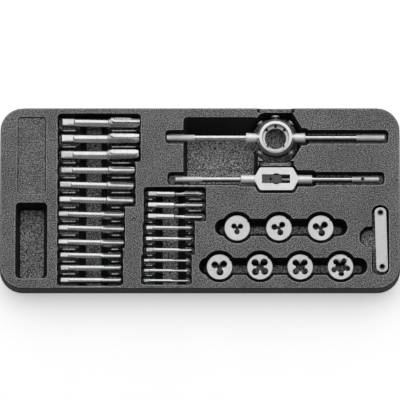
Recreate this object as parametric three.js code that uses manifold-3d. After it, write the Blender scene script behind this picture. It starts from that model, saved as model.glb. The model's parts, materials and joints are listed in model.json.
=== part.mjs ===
// Tap and die drawer: a moulded plastic tray that fills one drawer of a tool chest,
// with twenty-one taps, seven round dies, a die stock, a tap wrench and a screw pitch gauge.
// Millimetres, +Z up, +X to the right, +Y to the back. The tray stands on z = 0 about the origin.

import * as THREE from "three";
import { mergeVertices } from "three/addons/utils/BufferGeometryUtils.js";
import Module from "manifold-3d";

const wasm = await Module();
wasm.setup();

// The tray's sheet and its pockets in general
const sheet = 2;
const pocketDepth = 24;
const skirtFlare = 1;
const trayCorner = 22;
const trayEdgeRound = 0.9;
const wallDraft = 8;
const endDraft = 3;
const pocketCorner = 3.5;
const laneCorner = 2.4;
const smallestRound = 0.6;

// Running gap of any two pieces that lie on or in each other, and how far a cut runs past a face
const seatGap = 0.3;
const overrun = 1;
const vertexMerge = 0.0001;

// Lands of the tray between its edge and the pockets, and between one pocket and the next
const leftLand = 15.1;
const rightLand = 10.8;
const backLand = 5.4;
const frontLand = 2.9;
const sideColumn = 30.5;
const sideToBay = 9.7;
const bayToBay = 2.9;
const bayToStock = 20.9;

// Left column: a shallow recess for a label and an empty pocket
const labelLand = 8.7;
const labelLength = 75.2;
const labelDepth = 1.5;
const labelInset = 1.5;
const emptyLand = 8.8;
const emptyLength = 73.7;

// Taps: three of each size, each in its own lane across a finger channel
const tapKinds = ["taper", "second", "bottoming"];
const tapDrop = 7.5;
const crestDrop = 5.5;
const crestWidth = 1.6;
const gussetReach = 5;
const channelFloor = 15;
const channelWaist = 25;
const channelMouth = 35;
const channelWaistDrop = 14;
const channelOneStart = 34.8;
const channelTwoStart = 25.8;
const bayTwoDrop = 77.4;
const tapFamiliesOne = [
  {
    size: "m12", thread: 12, shank: 9, square: 7, length: 75, threadLength: 31,
    squareLength: 11.2, point: 0, tip: 0, neck: 0, flutes: 4, lane: 15.8, laneSlack: 5.4, laneShift: 0,
    restShares: [0.8, 0.7, 0.6], yaw: [-0.7, -0.1, -0.1],
  },
  {
    size: "m10", thread: 10, shank: 7, square: 5.5, length: 71, threadLength: 26,
    squareLength: 10.5, point: 0, tip: 0, neck: 0, flutes: 4, lane: 14.6, laneSlack: 4.5, laneShift: 0,
    restShares: [0.76, 0.5, 0.4], yaw: [-0.3, -1.4, -1.2],
  },
  {
    size: "m8", thread: 8, shank: 6, square: 4.9, length: 63, threadLength: 22.7,
    squareLength: 9, point: 0, tip: 0, neck: 0, flutes: 4, lane: 13.6, laneSlack: 2.4, laneShift: 0,
    restShares: [0.52, 0.5, 0.46], yaw: [-1.3, -1.3, -1],
  },
  {
    size: "m6", thread: 6, shank: 6, square: 4.9, length: 61, threadLength: 19.8,
    squareLength: 9.5, point: 2.2, tip: 1.2, neck: 0, flutes: 3, lane: 12.1, laneSlack: 2.8, laneShift: 0,
    restShares: [0.4, 0.5, 0.5], yaw: [-0.9, -0.1, -0.2],
  },
];
const tapFamiliesTwo = [
  {
    size: "m5", thread: 5, shank: 6, square: 4.9, length: 57, threadLength: 16.5,
    squareLength: 11, point: 3.2, tip: 3.6, neck: 9, flutes: 3, lane: 11.2, laneSlack: 3.4, laneShift: 0,
    restShares: [0.45, 0.4, 0.36], yaw: [-0.4, -0.8, -1.1],
  },
  {
    size: "m4", thread: 4, shank: 4.5, square: 3.4, length: 46.5, threadLength: 13,
    squareLength: 7.8, point: 1.8, tip: 1.2, neck: 0, flutes: 3, lane: 10.8, laneSlack: 4, laneShift: 0.9,
    restShares: [0.45, 0.4, 0.45], yaw: [-0.6, -0.4, -0.5],
  },
  {
    size: "m3", thread: 3, shank: 3.5, square: 2.7, length: 46, threadLength: 15.3,
    squareLength: 6.5, point: 1.6, tip: 3.2, neck: 0, flutes: 3, lane: 9.8, laneSlack: 3, laneShift: 2.4,
    restShares: [0.5, 0.45, 0.45], yaw: [-0.4, -0.5, -0.3],
  },
];
const tapSides = 12;
const neckShare = 0.76;
const fourFluteShares = [[-0.24, 1], [0.24, 1], [0.5, 0.56]];
const threeFluteShares = [[-0.22, 1], [0.22, 1], [0.4, 0.55], [0.6, 0.55]];
const leadShares = [0.45, 0.3, 0.14];
const leadEndShare = 0.8;
const pointEndShare = 0.12;
const runOutShare = 0.08;

// Dies: round, with a clearance hole beside each cutting land and a notch in the rim
const dieDiameter = 25;
const dieThickness = 9;
const dieDrop = 4;
const dieSide = 3;
const dieSeatSide = 0.6;
const dieSeatRoundShare = 0.96;
const notchDepth = 1.5;
const notchWidth = 2.2;
const minorShare = 0.42;
const dieSides = 28;
const lobeSides = 8;
const dieRows = [
  {
    start: 90.3, pitch: 40.3, leftReach: 21.6, rightReach: 25.8,
    dies: [
      { size: "m3", thread: 3, lobes: 3, lobeRadius: 2.7, lobeReach: 3.6, turn: 28, notch: 32 },
      { size: "m4", thread: 4, lobes: 3, lobeRadius: 3, lobeReach: 4.5, turn: 46, notch: 51 },
      { size: "m5", thread: 5, lobes: 3, lobeRadius: 3.3, lobeReach: 4.9, turn: 41, notch: 39 },
    ],
  },
  {
    start: 73.2, pitch: 38.9, leftReach: 19.9, rightReach: 25.8,
    dies: [
      { size: "m6", thread: 6, lobes: 3, lobeRadius: 3.5, lobeReach: 4.9, turn: 35, notch: 33 },
      { size: "m8", thread: 8, lobes: 4, lobeRadius: 3.6, lobeReach: 6.2, turn: 48, notch: 46 },
      { size: "m10", thread: 10, lobes: 4, lobeRadius: 3.2, lobeReach: 6, turn: 46, notch: 46 },
      { size: "m12", thread: 12, lobes: 5, lobeRadius: 2.8, lobeReach: 6.7, turn: 60, notch: 54 },
    ],
  },
];
const grooveWidth = 16.7;
const grooveDepth = 19;
const grooveDropShares = [0, 0.45, 0.72, 0.9, 1];
const grooveInsetShares = [0, 0.08, 0.2, 0.38, 0.62];
const grooveEndShare = 0.92;

// Die stock: a ring body with two handles and five clamp screws
const stockDrop = 6.5;
const ringRadius = 18.5;
const collarRadius = 16;
const ringBottom = 7;
const ringShoulder = 2.2;
const collarTop = 5.6;
const dieFit = 0.4;
const ledgeRadius = 10;
const bossReach = 28.6;
const bossDiameter = 10;
const spigotDiameter = 4.8;
const spigotLength = 8;
const stockRod = 6.1;
const stockGrip = 6.5;
const stockGripLength = 27.6;
const stockArm = 105.8;
const gripRound = 0.8;
const clampAngles = [90, 45, 135, 225, 315];
const clampDrop = 1.6;
const clampDiameter = 4;
const clampTip = 2.2;
const clampTipLength = 1.6;
const clampReachIn = 0.8;
const clampHead = 6;
const clampHeadLength = 2;
const clampHeadOut = 1.9;
const backHead = 8;
const backHeadLength = 1.8;
const slotWidth = 0.9;
const slotDepth = 1;
const ringSides = 28;
const rodSides = 12;
const screwSides = 8;

// Tap wrench: a six-sided frame with a fixed jaw, a sliding jaw and a screwed handle
const wrenchDrop = 6.5;
const frameWidth = 22.2;
const frameLength = 43.7;
const frameFlat = 32;
const frameThickness = 9;
const windowWidth = 8.6;
const windowStart = 8;
const windowLength = 27.1;
const jawThickness = 7;
const fixedJawLength = 7.9;
const slidingJawLength = 10.4;
const jawTravel = 4;
const jawNotch = 1.3;
const waistRound = 2.2;
const waistStart = 13.6;
const wrenchBoss = 8.7;
const leftBossLength = 12.6;
const rightBossLength = 12.8;
const wrenchRod = 5.4;
const wrenchScrew = 6;
const screwNeck = 4;
const neckInJaw = 4;
const wrenchGrip = 5.8;
const wrenchGripLength = 26.4;
const leftArm = 76;
const rightArm = 77.6;
const crossHole = 2.4;
const crossHoleInset = 16;

// Pocket sizes around the stock and the wrench
const stockAxisLand = 28.2;
const stockLeftGap = 0.9;
const stockRightGap = 3.2;
const troughSide = 3.4;
const ringPocketSide = 6.2;
const ringPocketShares = [
  [0.42, -1.04], [0.72, -0.84], [1, -0.38], [1.03, 0.34], [0.64, 1],
  [-0.5, 1], [-1, 0.5], [-1, -0.3], [-0.76, -0.74], [-0.34, -1.04],
];
const stockToWrench = 40.8;
const wrenchToDies = 47.9;
const dieRowPitch = 38;
const wrenchShift = 0.6;
const wrenchLeftGap = 7.4;
const wrenchRightGap = 4.9;
const framePocketSide = 1.7;
const framePocketFront = 3.2;
const framePocketEnd = 3;
const framePocketFloor = 16;
const bossPocketSide = 3.6;
const bossPocketEnd = 4.2;
const stockBossEnd = 3.4;
const handPocketLand = 8.7;
const handPocketStart = 17.4;
const handPocketLength = 72.2;
const handPocketWidth = 65.4;
const handPocketBackSlope = 0.62;
const panelLand = 17.6;
const panelWidth = 19;
const panelRise = 0.8;
const saddleDrop = 3.5;
const saddleLength = 37;
const stripLength = 36;
const dimpleAside = 9.3;
const dimpleAhead = 31.8;
const dimpleRadius = 2.6;
const dimpleDepth = 1.2;

// Screw pitch gauge: leaves between two covers on two hollow rivets
const gaugeSlotWidth = 16.6;
const gaugeSlotSlack = 5.6;
const gaugeFrontLand = 12.8;
const gaugeSlotDepth = 11.2;
const gaugeSlotCorner = 7;
const gaugeNotchRadius = 10;
const gaugeNotchBack = 3.5;
const gaugeNotchIn = 1.7;
const gaugeWidth = 11.1;
const gaugeLength = 63;
const gaugeYaw = 1.5;
const gaugeRight = 1;
const gaugeBack = 1.2;
const coverThickness = 1;
const leafThickness = 0.5;
const leafCount = 6;
const leafWidth = 8;
const leafToRivet = 8.8;
const leafTipWidth = 5;
const rivetInset = 5.1;
const rivetDiameter = 4;
const rivetBore = 2.4;
const rivetFlange = 6.4;
const flangeThickness = 0.4;
const gaugeSides = 8;
const rivetSides = 10;

// Colours and finishes
const trayPlastic = { color: 0x1c1d1e, roughness: 0.55, metalness: 0 };
const brightSteel = { color: 0xb4b6b8, roughness: 0.28, metalness: 0.95 };
const dieSteel = { color: 0xc3c5c6, roughness: 0.42, metalness: 0.8 };
const castBody = { color: 0xcccdce, roughness: 0.38, metalness: 0.85 };
const jawSteel = { color: 0x6d6f71, roughness: 0.4, metalness: 0.85 };

// Places that follow from the sizes above
const trayHeight = pocketDepth + sheet;
const wallSlope = Math.tan(THREE.MathUtils.degToRad(wallDraft));
const endSlope = Math.tan(THREE.MathUtils.degToRad(endDraft));
const firstOne = tapFamiliesOne[0];
const bayOneLength = firstOne.length + firstOne.laneSlack;
const stockTroughLength = 2 * stockArm + stockLeftGap + stockRightGap;
const trayLength =
  leftLand + sideColumn + sideToBay + bayOneLength + bayToBay + bayToStock + stockTroughLength + rightLand;
const laneSum = tapFamiliesOne.reduce((sum, family) => sum + tapKinds.length * family.lane, 0);
const trayDepth = backLand + laneSum + frontLand;
const trayLeft = -trayLength / 2;
const trayBack = trayDepth / 2;
const sideLeft = trayLeft + leftLand;
const sideRight = sideLeft + sideColumn;
const bayOneLeft = sideRight + sideToBay;
const bayOneBack = trayBack - backLand;
const bayTwoLeft = bayOneLeft + bayOneLength + bayToBay;
const bayTwoBack = trayBack - bayTwoDrop;
const stockLeft = bayTwoLeft + bayToStock;
const stockRight = stockLeft + stockTroughLength;
const stockX = stockLeft + stockLeftGap + stockArm;
const stockY = trayBack - stockAxisLand;
const stockZ = trayHeight - stockDrop;
const wrenchX = stockX + wrenchShift;
const wrenchY = stockY - stockToWrench;
const wrenchZ = trayHeight - wrenchDrop;
const wrenchLeft = wrenchX - frameLength / 2 - leftArm;
const wrenchRight = wrenchX + frameLength / 2 + rightArm;
const tapZ = trayHeight - tapDrop;
const dieZ = trayHeight - dieDrop - dieThickness;
const gaugeSlotRight = stockRight;
const gaugeSlotLeft = gaugeSlotRight - gaugeSlotWidth;
const gaugeSlotFront = -trayBack + gaugeFrontLand;
const gaugeSlotBack = gaugeSlotFront + gaugeLength + gaugeSlotSlack;
const gaugeSlotMiddle = (gaugeSlotBack + gaugeSlotFront) / 2;
const rivetSpacing = gaugeLength - 2 * rivetInset;
const leafLength = rivetSpacing + leafWidth / 2 - leafToRivet;

// Closed meshes

function solid(geometry) {
  const bare = geometry.clone();
  bare.deleteAttribute("normal");
  bare.deleteAttribute("uv");
  const merged = mergeVertices(bare, vertexMerge);
  const mesh = new wasm.Mesh({
    numProp: 3,
    vertProperties: Float32Array.from(merged.attributes.position.array),
    triVerts: Uint32Array.from(merged.index.array),
  });
  return new wasm.Manifold(mesh);
}

function geometryOf(shape) {
  const mesh = shape.getMesh();
  const geometry = new THREE.BufferGeometry();
  geometry.setAttribute("position", new THREE.BufferAttribute(mesh.vertProperties, 3));
  geometry.setIndex(new THREE.BufferAttribute(mesh.triVerts, 1));
  geometry.computeVertexNormals();
  return geometry;
}

function joined(shapes) {
  return shapes.reduce((sum, shape) => sum.add(shape));
}

function cutBy(shape, tools) {
  return tools.reduce((rest, tool) => rest.subtract(tool), shape);
}

function piece(name, shape, look) {
  const mesh = new THREE.Mesh(geometryOf(shape), new THREE.MeshStandardMaterial(look));
  mesh.name = name;
  return mesh;
}

// A solid through outlines of equally many points, each at its own height, from the bottom up
function loft(levels) {
  const sides = levels[0].points.length;
  const positions = levels.flatMap((level) => level.points.flatMap(([x, y]) => [x, y, level.z]));
  const index = [];
  for (let step = 0; step + 1 < levels.length; step += 1) {
    for (let side = 0; side < sides; side += 1) {
      const here = step * sides + side;
      const next = step * sides + ((side + 1) % sides);
      index.push(here, next, next + sides, here, next + sides, here + sides);
    }
  }
  const top = (levels.length - 1) * sides;
  const cap = (level) => {
    const outline = level.points.map(([x, y]) => new THREE.Vector2(x, y));
    return THREE.ShapeUtils.triangulateShape(outline, []);
  };
  cap(levels[0]).forEach(([a, b, c]) => index.push(a, c, b));
  cap(levels[levels.length - 1]).forEach(([a, b, c]) => index.push(top + a, top + b, top + c));
  const geometry = new THREE.BufferGeometry();
  geometry.setAttribute("position", new THREE.Float32BufferAttribute(positions, 3));
  geometry.setIndex(index);
  return solid(geometry);
}

// Upright round bar about a point, and a bar that lies along X
function upright(radius, bottom, top, sides, x = 0, y = 0) {
  const bar = new THREE.CylinderGeometry(radius, radius, top - bottom, sides);
  return solid(bar.rotateX(Math.PI / 2).translate(x, y, (bottom + top) / 2));
}

function lying(radius, left, right, sides) {
  const bar = new THREE.CylinderGeometry(radius, radius, right - left, sides);
  return solid(bar.rotateZ(Math.PI / 2).translate((left + right) / 2, 0, 0));
}

function block(left, right, front, back, bottom, top) {
  const box = new THREE.BoxGeometry(right - left, back - front, top - bottom);
  return solid(box.translate((left + right) / 2, (front + back) / 2, (bottom + top) / 2));
}

// A solid of revolution about Z from pairs of radius and height that close on themselves
function turned(profile, sides) {
  const points = [...profile, profile[0]].map(([radius, height]) => new THREE.Vector2(radius, height));
  return solid(new THREE.LatheGeometry(points, sides).rotateX(Math.PI / 2));
}

// Outlines, anticlockwise as seen from above

function rectangle(left, right, front, back) {
  return [[left, front], [right, front], [right, back], [left, back]];
}

function regular(sides, apothem, x, y) {
  const reach = apothem / Math.cos(Math.PI / sides);
  return Array.from({ length: sides }, (_, side) => {
    const angle = (2 * side + 1) * (Math.PI / sides) - Math.PI / 2;
    return [x + reach * Math.cos(angle), y + reach * Math.sin(angle)];
  });
}

// A convex outline with every edge moved in by its inset and every corner rounded
function rounded(corners, radius, insets, steps) {
  const count = corners.length;
  const inward = corners.map(([x, y], corner) => {
    const [nextX, nextY] = corners[(corner + 1) % count];
    const length = Math.hypot(nextX - x, nextY - y);
    return [(y - nextY) / length, (nextX - x) / length];
  });
  return corners.flatMap(([x, y], corner) => {
    const before = (corner + count - 1) % count;
    const [ax, ay] = inward[before];
    const [bx, by] = inward[corner];
    const cross = ax * by - ay * bx;
    const moveA = insets[before] + radius;
    const moveB = insets[corner] + radius;
    const centreX = x + (moveA * by - moveB * ay) / cross;
    const centreY = y + (moveB * ax - moveA * bx) / cross;
    const start = Math.atan2(-ay, -ax);
    const sweep = Math.atan2(cross, ax * bx + ay * by);
    return Array.from({ length: steps + 1 }, (_, step) => {
      const angle = start + (sweep * step) / steps;
      return [centreX + radius * Math.cos(angle), centreY + radius * Math.sin(angle)];
    });
  });
}

// The hollow of a pocket, from past the tray's top face down to its floor
function hollow({ corners, depth, radius = pocketCorner, slopes = null, steps = 3 }) {
  const rates = slopes ?? corners.map(() => wallSlope);
  const level = (drop) => ({
    z: trayHeight - drop,
    points: rounded(corners, radius, rates.map((rate) => rate * drop), steps),
  });
  return loft([level(depth), level(-overrun)]);
}

// The sheet around a pocket, one sheet thicker than its hollow on every side
function lining({ corners, depth, radius = pocketCorner, slopes = null, steps = 3 }) {
  const rates = slopes ?? corners.map(() => wallSlope);
  const level = (drop, deeper) => ({
    z: trayHeight - drop - deeper,
    points: rounded(corners, radius + sheet, rates.map((rate) => rate * drop - sheet), steps),
  });
  return loft([level(depth, sheet), level(sheet, -sheet / 2)]);
}

// The tray

const labelFront = trayBack - labelLand - labelLength;
const emptyBack = labelFront - emptyLand;
const labelRecess = {
  corners: rectangle(sideLeft + labelInset, sideRight - labelInset, labelFront, trayBack - labelLand),
  depth: labelDepth,
};
const emptyPocket = {
  corners: rectangle(sideLeft, sideRight, emptyBack - emptyLength, emptyBack),
  depth: pocketDepth,
};

const handPocket = {
  corners: rectangle(
    stockLeft + handPocketStart,
    stockLeft + handPocketStart + handPocketLength,
    trayBack - handPocketLand - handPocketWidth,
    trayBack - handPocketLand,
  ),
  depth: pocketDepth,
  slopes: [wallSlope, wallSlope, handPocketBackSlope, wallSlope],
};

const ringPocketReach = ringRadius + ringPocketSide;
const ringPocket = {
  corners: ringPocketShares.map(([x, y]) => [stockX + x * ringPocketReach, stockY + y * ringPocketReach]),
  depth: pocketDepth,
};

function trough(left, right, axisY, diameter, side, depth) {
  const half = diameter / 2 + side;
  return {
    corners: rectangle(left, right, axisY - half, axisY + half),
    depth,
    slopes: [wallSlope, endSlope, wallSlope, endSlope],
  };
}

const stockTroughDepth = stockDrop + stockGrip / 2 + seatGap;
const wrenchTroughDepth = wrenchDrop + wrenchGrip / 2 + seatGap;
const stockTrough = trough(stockLeft, stockRight, stockY, stockGrip, troughSide, stockTroughDepth);
const wrenchTrough = trough(
  wrenchLeft - wrenchLeftGap,
  wrenchRight + wrenchRightGap,
  wrenchY,
  wrenchGrip,
  troughSide,
  wrenchTroughDepth,
);
const bossPocket = trough(
  wrenchX - frameLength / 2 - leftBossLength - bossPocketEnd,
  wrenchX + frameLength / 2 + rightBossLength + bossPocketEnd,
  wrenchY,
  wrenchBoss,
  bossPocketSide,
  framePocketFloor,
);

function frameOutline(side, end, front = side) {
  const point = frameLength / 2 + end;
  const flat = frameFlat / 2 + end / 2;
  const back = frameWidth / 2 + side;
  const ahead = -frameWidth / 2 - front;
  return [[-point, 0], [-flat, ahead], [flat, ahead], [point, 0], [flat, back], [-flat, back]];
}

const stockBossPocket = trough(
  stockX,
  stockX + bossReach + stockBossEnd,
  stockY,
  bossDiameter,
  bossPocketSide,
  framePocketFloor,
);

const framePocket = {
  corners: frameOutline(framePocketSide, framePocketEnd, framePocketFront).map(([x, y]) => [
    x + wrenchX,
    y + wrenchY,
  ]),
  depth: framePocketFloor,
  slopes: frameOutline(0, 0).map(() => endSlope),
};

const gaugeSlot = {
  corners: rectangle(gaugeSlotLeft, gaugeSlotRight, gaugeSlotFront, gaugeSlotBack),
  depth: gaugeSlotDepth,
  radius: gaugeSlotCorner,
  slopes: [endSlope, endSlope, endSlope, endSlope],
};
const gaugeNotch = {
  corners: regular(
    gaugeSides,
    gaugeNotchRadius,
    gaugeSlotLeft - gaugeNotchIn,
    gaugeSlotMiddle + gaugeNotchBack,
  ),
  depth: gaugeSlotDepth,
};

// A lane for each tap, from the back of a bay to its front
function lanesOf(families, bayLeft, bayBack) {
  const lanes = [];
  let edge = bayBack;
  for (const family of families) {
    for (const [place, kind] of tapKinds.entries()) {
      const left = bayLeft - family.laneShift;
      const length = family.length + family.laneSlack;
      lanes.push({ family, kind, place, left, right: left + length, back: edge, front: edge - family.lane });
      edge -= family.lane;
    }
  }
  return lanes;
}

const lanesOne = lanesOf(tapFamiliesOne, bayOneLeft, bayOneBack);
const lanesTwo = lanesOf(tapFamiliesTwo, bayTwoLeft, bayTwoBack);

// A lane's hollow on one side of the finger channel, deep enough for the round that lies there
function laneHollow(lane, left, right, diameter) {
  const side = crestWidth / 2 - crestDrop * wallSlope;
  return hollow({
    corners: rectangle(left, right, lane.front + side, lane.back - side),
    depth: tapDrop + diameter / 2 + seatGap,
    radius: laneCorner,
    slopes: [wallSlope, endSlope, wallSlope, endSlope],
    steps: 1,
  });
}

function bay(lanes, channelLeft) {
  const families = [...new Set(lanes.map((lane) => lane.family))];
  const bayBack = lanes[0].back;
  const bayFront = lanes[lanes.length - 1].front;
  const middle = channelLeft + channelFloor / 2;
  const across = (width, drop, grow) => ({
    z: trayHeight - drop,
    points: rectangle(middle - width / 2 - grow, middle + width / 2 + grow, bayFront - grow, bayBack + grow),
  });
  const channel = loft([
    across(channelFloor, pocketDepth, 0),
    across(channelWaist, channelWaistDrop, 0),
    across(channelMouth, crestDrop, 0),
    across(channelMouth, -overrun, 0),
  ]);
  const channelLining = loft([
    across(channelFloor, pocketDepth + sheet, sheet),
    across(channelWaist, channelWaistDrop + sheet, sheet),
    across(channelWaist, sheet / 2, sheet),
  ]);
  const hollows = [channel];
  const linings = [channelLining];
  for (const family of families) {
    const own = lanes.filter((lane) => lane.family === family);
    const { left, right, back } = own[0];
    const front = own[own.length - 1].front;
    const openFront = front === bayFront ? front + crestWidth / 2 : front;
    const openBack = back === bayBack ? back - crestWidth / 2 : back;
    hollows.push(
      hollow({
        corners: rectangle(left, right, openFront, openBack),
        depth: crestDrop,
        radius: smallestRound,
        slopes: [0, gussetReach / crestDrop, 0, gussetReach / crestDrop],
        steps: 1,
      }),
    );
    const depth = tapDrop + Math.max(family.thread, family.shank) / 2 + seatGap;
    linings.push(
      lining({
        corners: rectangle(left, right, front, back),
        depth,
        radius: smallestRound,
        slopes: [0, endSlope, 0, endSlope],
        steps: 1,
      }),
    );
    for (const lane of own) {
      hollows.push(laneHollow(lane, left, middle, family.shank));
      hollows.push(laneHollow(lane, middle, right, Math.max(family.thread, family.tip ? family.shank : 0)));
    }
  }
  return { hollows, linings };
}

const bayOne = bay(lanesOne, bayOneLeft + channelOneStart - channelFloor / 2);
const bayTwo = bay(lanesTwo, bayTwoLeft + channelTwoStart - channelFloor / 2);

// Round pockets for the dies, with a rounded finger groove that links a row
function dieCircle(drop, grow) {
  const radius = dieDiameter / 2 + dieSide - drop * ((dieSide - dieSeatSide) / (dieDrop + dieThickness));
  return radius + grow;
}

function dieX(row, place) {
  return bayTwoLeft + row.start + place * row.pitch;
}

const dieRowY = [wrenchY - wrenchToDies, wrenchY - wrenchToDies - dieRowPitch];

function grooveLevels(row, rowY, grow) {
  const left = dieX(row, 0) - row.leftReach;
  const right = dieX(row, row.dies.length - 1) + row.rightReach;
  const corners = rectangle(left, right, rowY - grooveWidth / 2, rowY + grooveWidth / 2);
  const levels = grooveDropShares.map((share, level) => {
    const inset = (grooveInsetShares[level] * grooveWidth) / 2 - grow;
    const radius = (grooveEndShare * grooveWidth) / 2 - inset * grooveEndShare;
    const points = rounded(corners, radius, [inset, inset, inset, inset], 3);
    return { z: trayHeight - share * grooveDepth - grow, points };
  });
  const lip = { z: trayHeight + (grow ? -sheet / 2 : overrun), points: levels[0].points };
  return [lip, ...levels.slice(grow ? 1 : 0)].reverse();
}

function dieRow(row, rowY) {
  const seat = dieDrop + dieThickness + seatGap;
  const circle = (x, drop, grow) => {
    const radius = dieCircle(drop, grow);
    return rounded(regular(4, radius, x, rowY), radius * dieSeatRoundShare, [0, 0, 0, 0], 6);
  };
  const hollows = [loft(grooveLevels(row, rowY, 0))];
  const linings = [loft(grooveLevels(row, rowY, sheet))];
  row.dies.forEach((_, place) => {
    const x = dieX(row, place);
    hollows.push(
      loft([
        { z: trayHeight - seat, points: circle(x, seat, 0) },
        { z: trayHeight + overrun, points: circle(x, -overrun, 0) },
      ]),
    );
    linings.push(
      loft([
        { z: trayHeight - seat - sheet, points: circle(x, seat, sheet) },
        { z: trayHeight - sheet / 2, points: circle(x, 0, sheet) },
      ]),
    );
  });
  return { hollows, linings };
}

const dieHolders = dieRows.map((row, place) => dieRow(row, dieRowY[place]));

// Lowered lands behind and in front of the ring pocket, on solid ground
const saddleFront = stockY + ringPocketReach;
const stripBack = stockY - ringPocketReach;
const stripFront = wrenchY + frameWidth / 2 + framePocketSide;
const saddleGround = block(
  stockX - saddleLength / 2 - sheet,
  stockX + saddleLength / 2 + sheet,
  saddleFront - overrun - sheet,
  trayBack - trayEdgeRound,
  trayHeight - pocketDepth / 2,
  trayHeight - sheet / 2,
);
const stripGround = block(
  stockX - stripLength / 2,
  stockX + stripLength / 2,
  stripFront - overrun - sheet,
  stripBack + overrun + sheet,
  trayHeight - framePocketFloor,
  trayHeight - sheet / 2,
);
function lowered(length, front, back) {
  return hollow({
    corners: rectangle(stockX - length / 2, stockX + length / 2, front, back),
    depth: saddleDrop,
    radius: smallestRound,
    slopes: [0, 1, 0, 1],
    steps: 1,
  });
}
const saddles = [
  lowered(saddleLength, saddleFront - overrun, trayBack + skirtFlare + overrun),
  lowered(stripLength, stripFront - overrun, stripBack + overrun),
];

function dimpleLevel(drop, radius) {
  const points = regular(gaugeSides, radius, bayTwoLeft - dimpleAside, bayTwoBack - dimpleAhead);
  return { z: trayHeight - drop, points };
}
const dimple = loft([dimpleLevel(dimpleDepth, dimpleRadius / 2), dimpleLevel(-overrun, dimpleRadius)]);

const trayOutline = rectangle(trayLeft, -trayLeft, -trayBack, trayBack);
function trayLevel(z, inset) {
  return { z, points: rounded(trayOutline, trayCorner - inset, [inset, inset, inset, inset], 7) };
}
const skirt = loft([
  trayLevel(0, -skirtFlare),
  trayLevel(trayHeight - trayEdgeRound, 0),
  trayLevel(trayHeight, trayEdgeRound),
]);
const underside = loft([
  trayLevel(-overrun, sheet - skirtFlare),
  trayLevel(trayHeight - sheet, sheet),
]);

const pockets = [
  labelRecess,
  emptyPocket,
  handPocket,
  ringPocket,
  stockTrough,
  wrenchTrough,
  bossPocket,
  stockBossPocket,
  framePocket,
  gaugeSlot,
  gaugeNotch,
];
const numberPanel = block(
  stockLeft + handPocketStart + pocketDepth * wallSlope,
  stockLeft + handPocketStart + handPocketLength - pocketDepth * wallSlope,
  handPocket.corners[0][1] + panelLand,
  handPocket.corners[0][1] + panelLand + panelWidth,
  sheet / 2,
  sheet + panelRise,
);
const holders = [bayOne, bayTwo, ...dieHolders];
const lined = joined([
  skirt.subtract(underside),
  saddleGround,
  stripGround,
  ...pockets.map(lining),
  ...holders.flatMap((holder) => holder.linings),
]);
const pocketed = cutBy(lined, [
  ...pockets.map(hollow),
  ...holders.flatMap((holder) => holder.hollows),
  ...saddles,
  dimple,
]);
const tray = piece("tray", pocketed.add(numberPanel), trayPlastic);

// Taps lie along Z here, square end at zero, and are turned to lie along X in their lanes.
// Every outline along a tap has as many points, so one skin runs from end to end

function turnedPoints(stops) {
  return stops.map(([angle, reach]) => [reach * Math.cos(angle), reach * Math.sin(angle)]);
}

function roundSection(diameter) {
  const step = (2 * Math.PI) / tapSides;
  return turnedPoints(Array.from({ length: tapSides }, (_, side) => [side * step, diameter / 2]));
}

// The squared end keeps the shank's round where its corners would stand out
function squareSection(flats, diameter) {
  const half = flats / 2;
  const side = Math.sqrt(Math.max(diameter * diameter - flats * flats, 0)) / 2;
  return [
    [half, 0], [half, side], [side, half], [0, half], [-side, half], [-half, side],
    [-half, 0], [-half, -side], [-side, -half], [0, -half], [side, -half], [half, -side],
  ];
}

// Cutting lands at full size with a flute between each two
function flutedSection(diameter, flutes) {
  const pitch = (2 * Math.PI) / flutes;
  const shares = flutes === 4 ? fourFluteShares : threeFluteShares;
  const stops = Array.from({ length: flutes }, (_, flute) =>
    shares.map(([turnShare, reachShare]) => [(flute + turnShare) * pitch, (reachShare * diameter) / 2]),
  );
  return turnedPoints(stops.flat());
}

function scaled(points, share) {
  return points.map(([x, y]) => [x * share, y * share]);
}

function tapShape(family, place) {
  const { thread, shank, square, length, threadLength, squareLength, point, tip, neck, flutes } = family;
  const threadEnd = length - tip;
  const threadStart = threadEnd - threadLength;
  const runOut = threadLength * runOutShare;
  const lead = threadLength * leadShares[place];
  const flats = squareSection(square, shank);
  const round = roundSection(shank);
  const slim = roundSection(thread * neckShare);
  const cutters = flutedSection(thread, flutes);
  const levels = [
    { z: point, points: flats },
    { z: squareLength, points: flats },
    { z: squareLength + (shank - square) / 2, points: round },
    { z: threadStart - neck, points: round },
  ];
  if (point) {
    levels.unshift({ z: 0, points: scaled(flats, pointEndShare) });
  }
  if (neck) {
    levels.push({ z: threadStart - neck + runOut, points: slim }, { z: threadStart, points: slim });
  }
  levels.push(
    { z: threadStart + runOut, points: cutters },
    { z: threadEnd - lead, points: cutters },
    { z: threadEnd, points: scaled(cutters, leadEndShare) },
  );
  if (tip) {
    levels.push({ z: length, points: scaled(cutters, pointEndShare) });
  }
  return loft(levels);
}

function tap(lane) {
  const { family, kind, place } = lane;
  const mesh = piece(`tap_${family.size}_${kind}`, tapShape(family, place), brightSteel);
  mesh.rotation.y = Math.PI / 2;
  mesh.position.x = -family.length / 2;
  const holder = new THREE.Group();
  holder.add(mesh);
  const start = lane.left + family.laneSlack * family.restShares[place];
  holder.position.set(start + family.length / 2, (lane.back + lane.front) / 2, tapZ);
  holder.rotation.z = THREE.MathUtils.degToRad(family.yaw[place]);
  return holder;
}

// Dies

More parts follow.
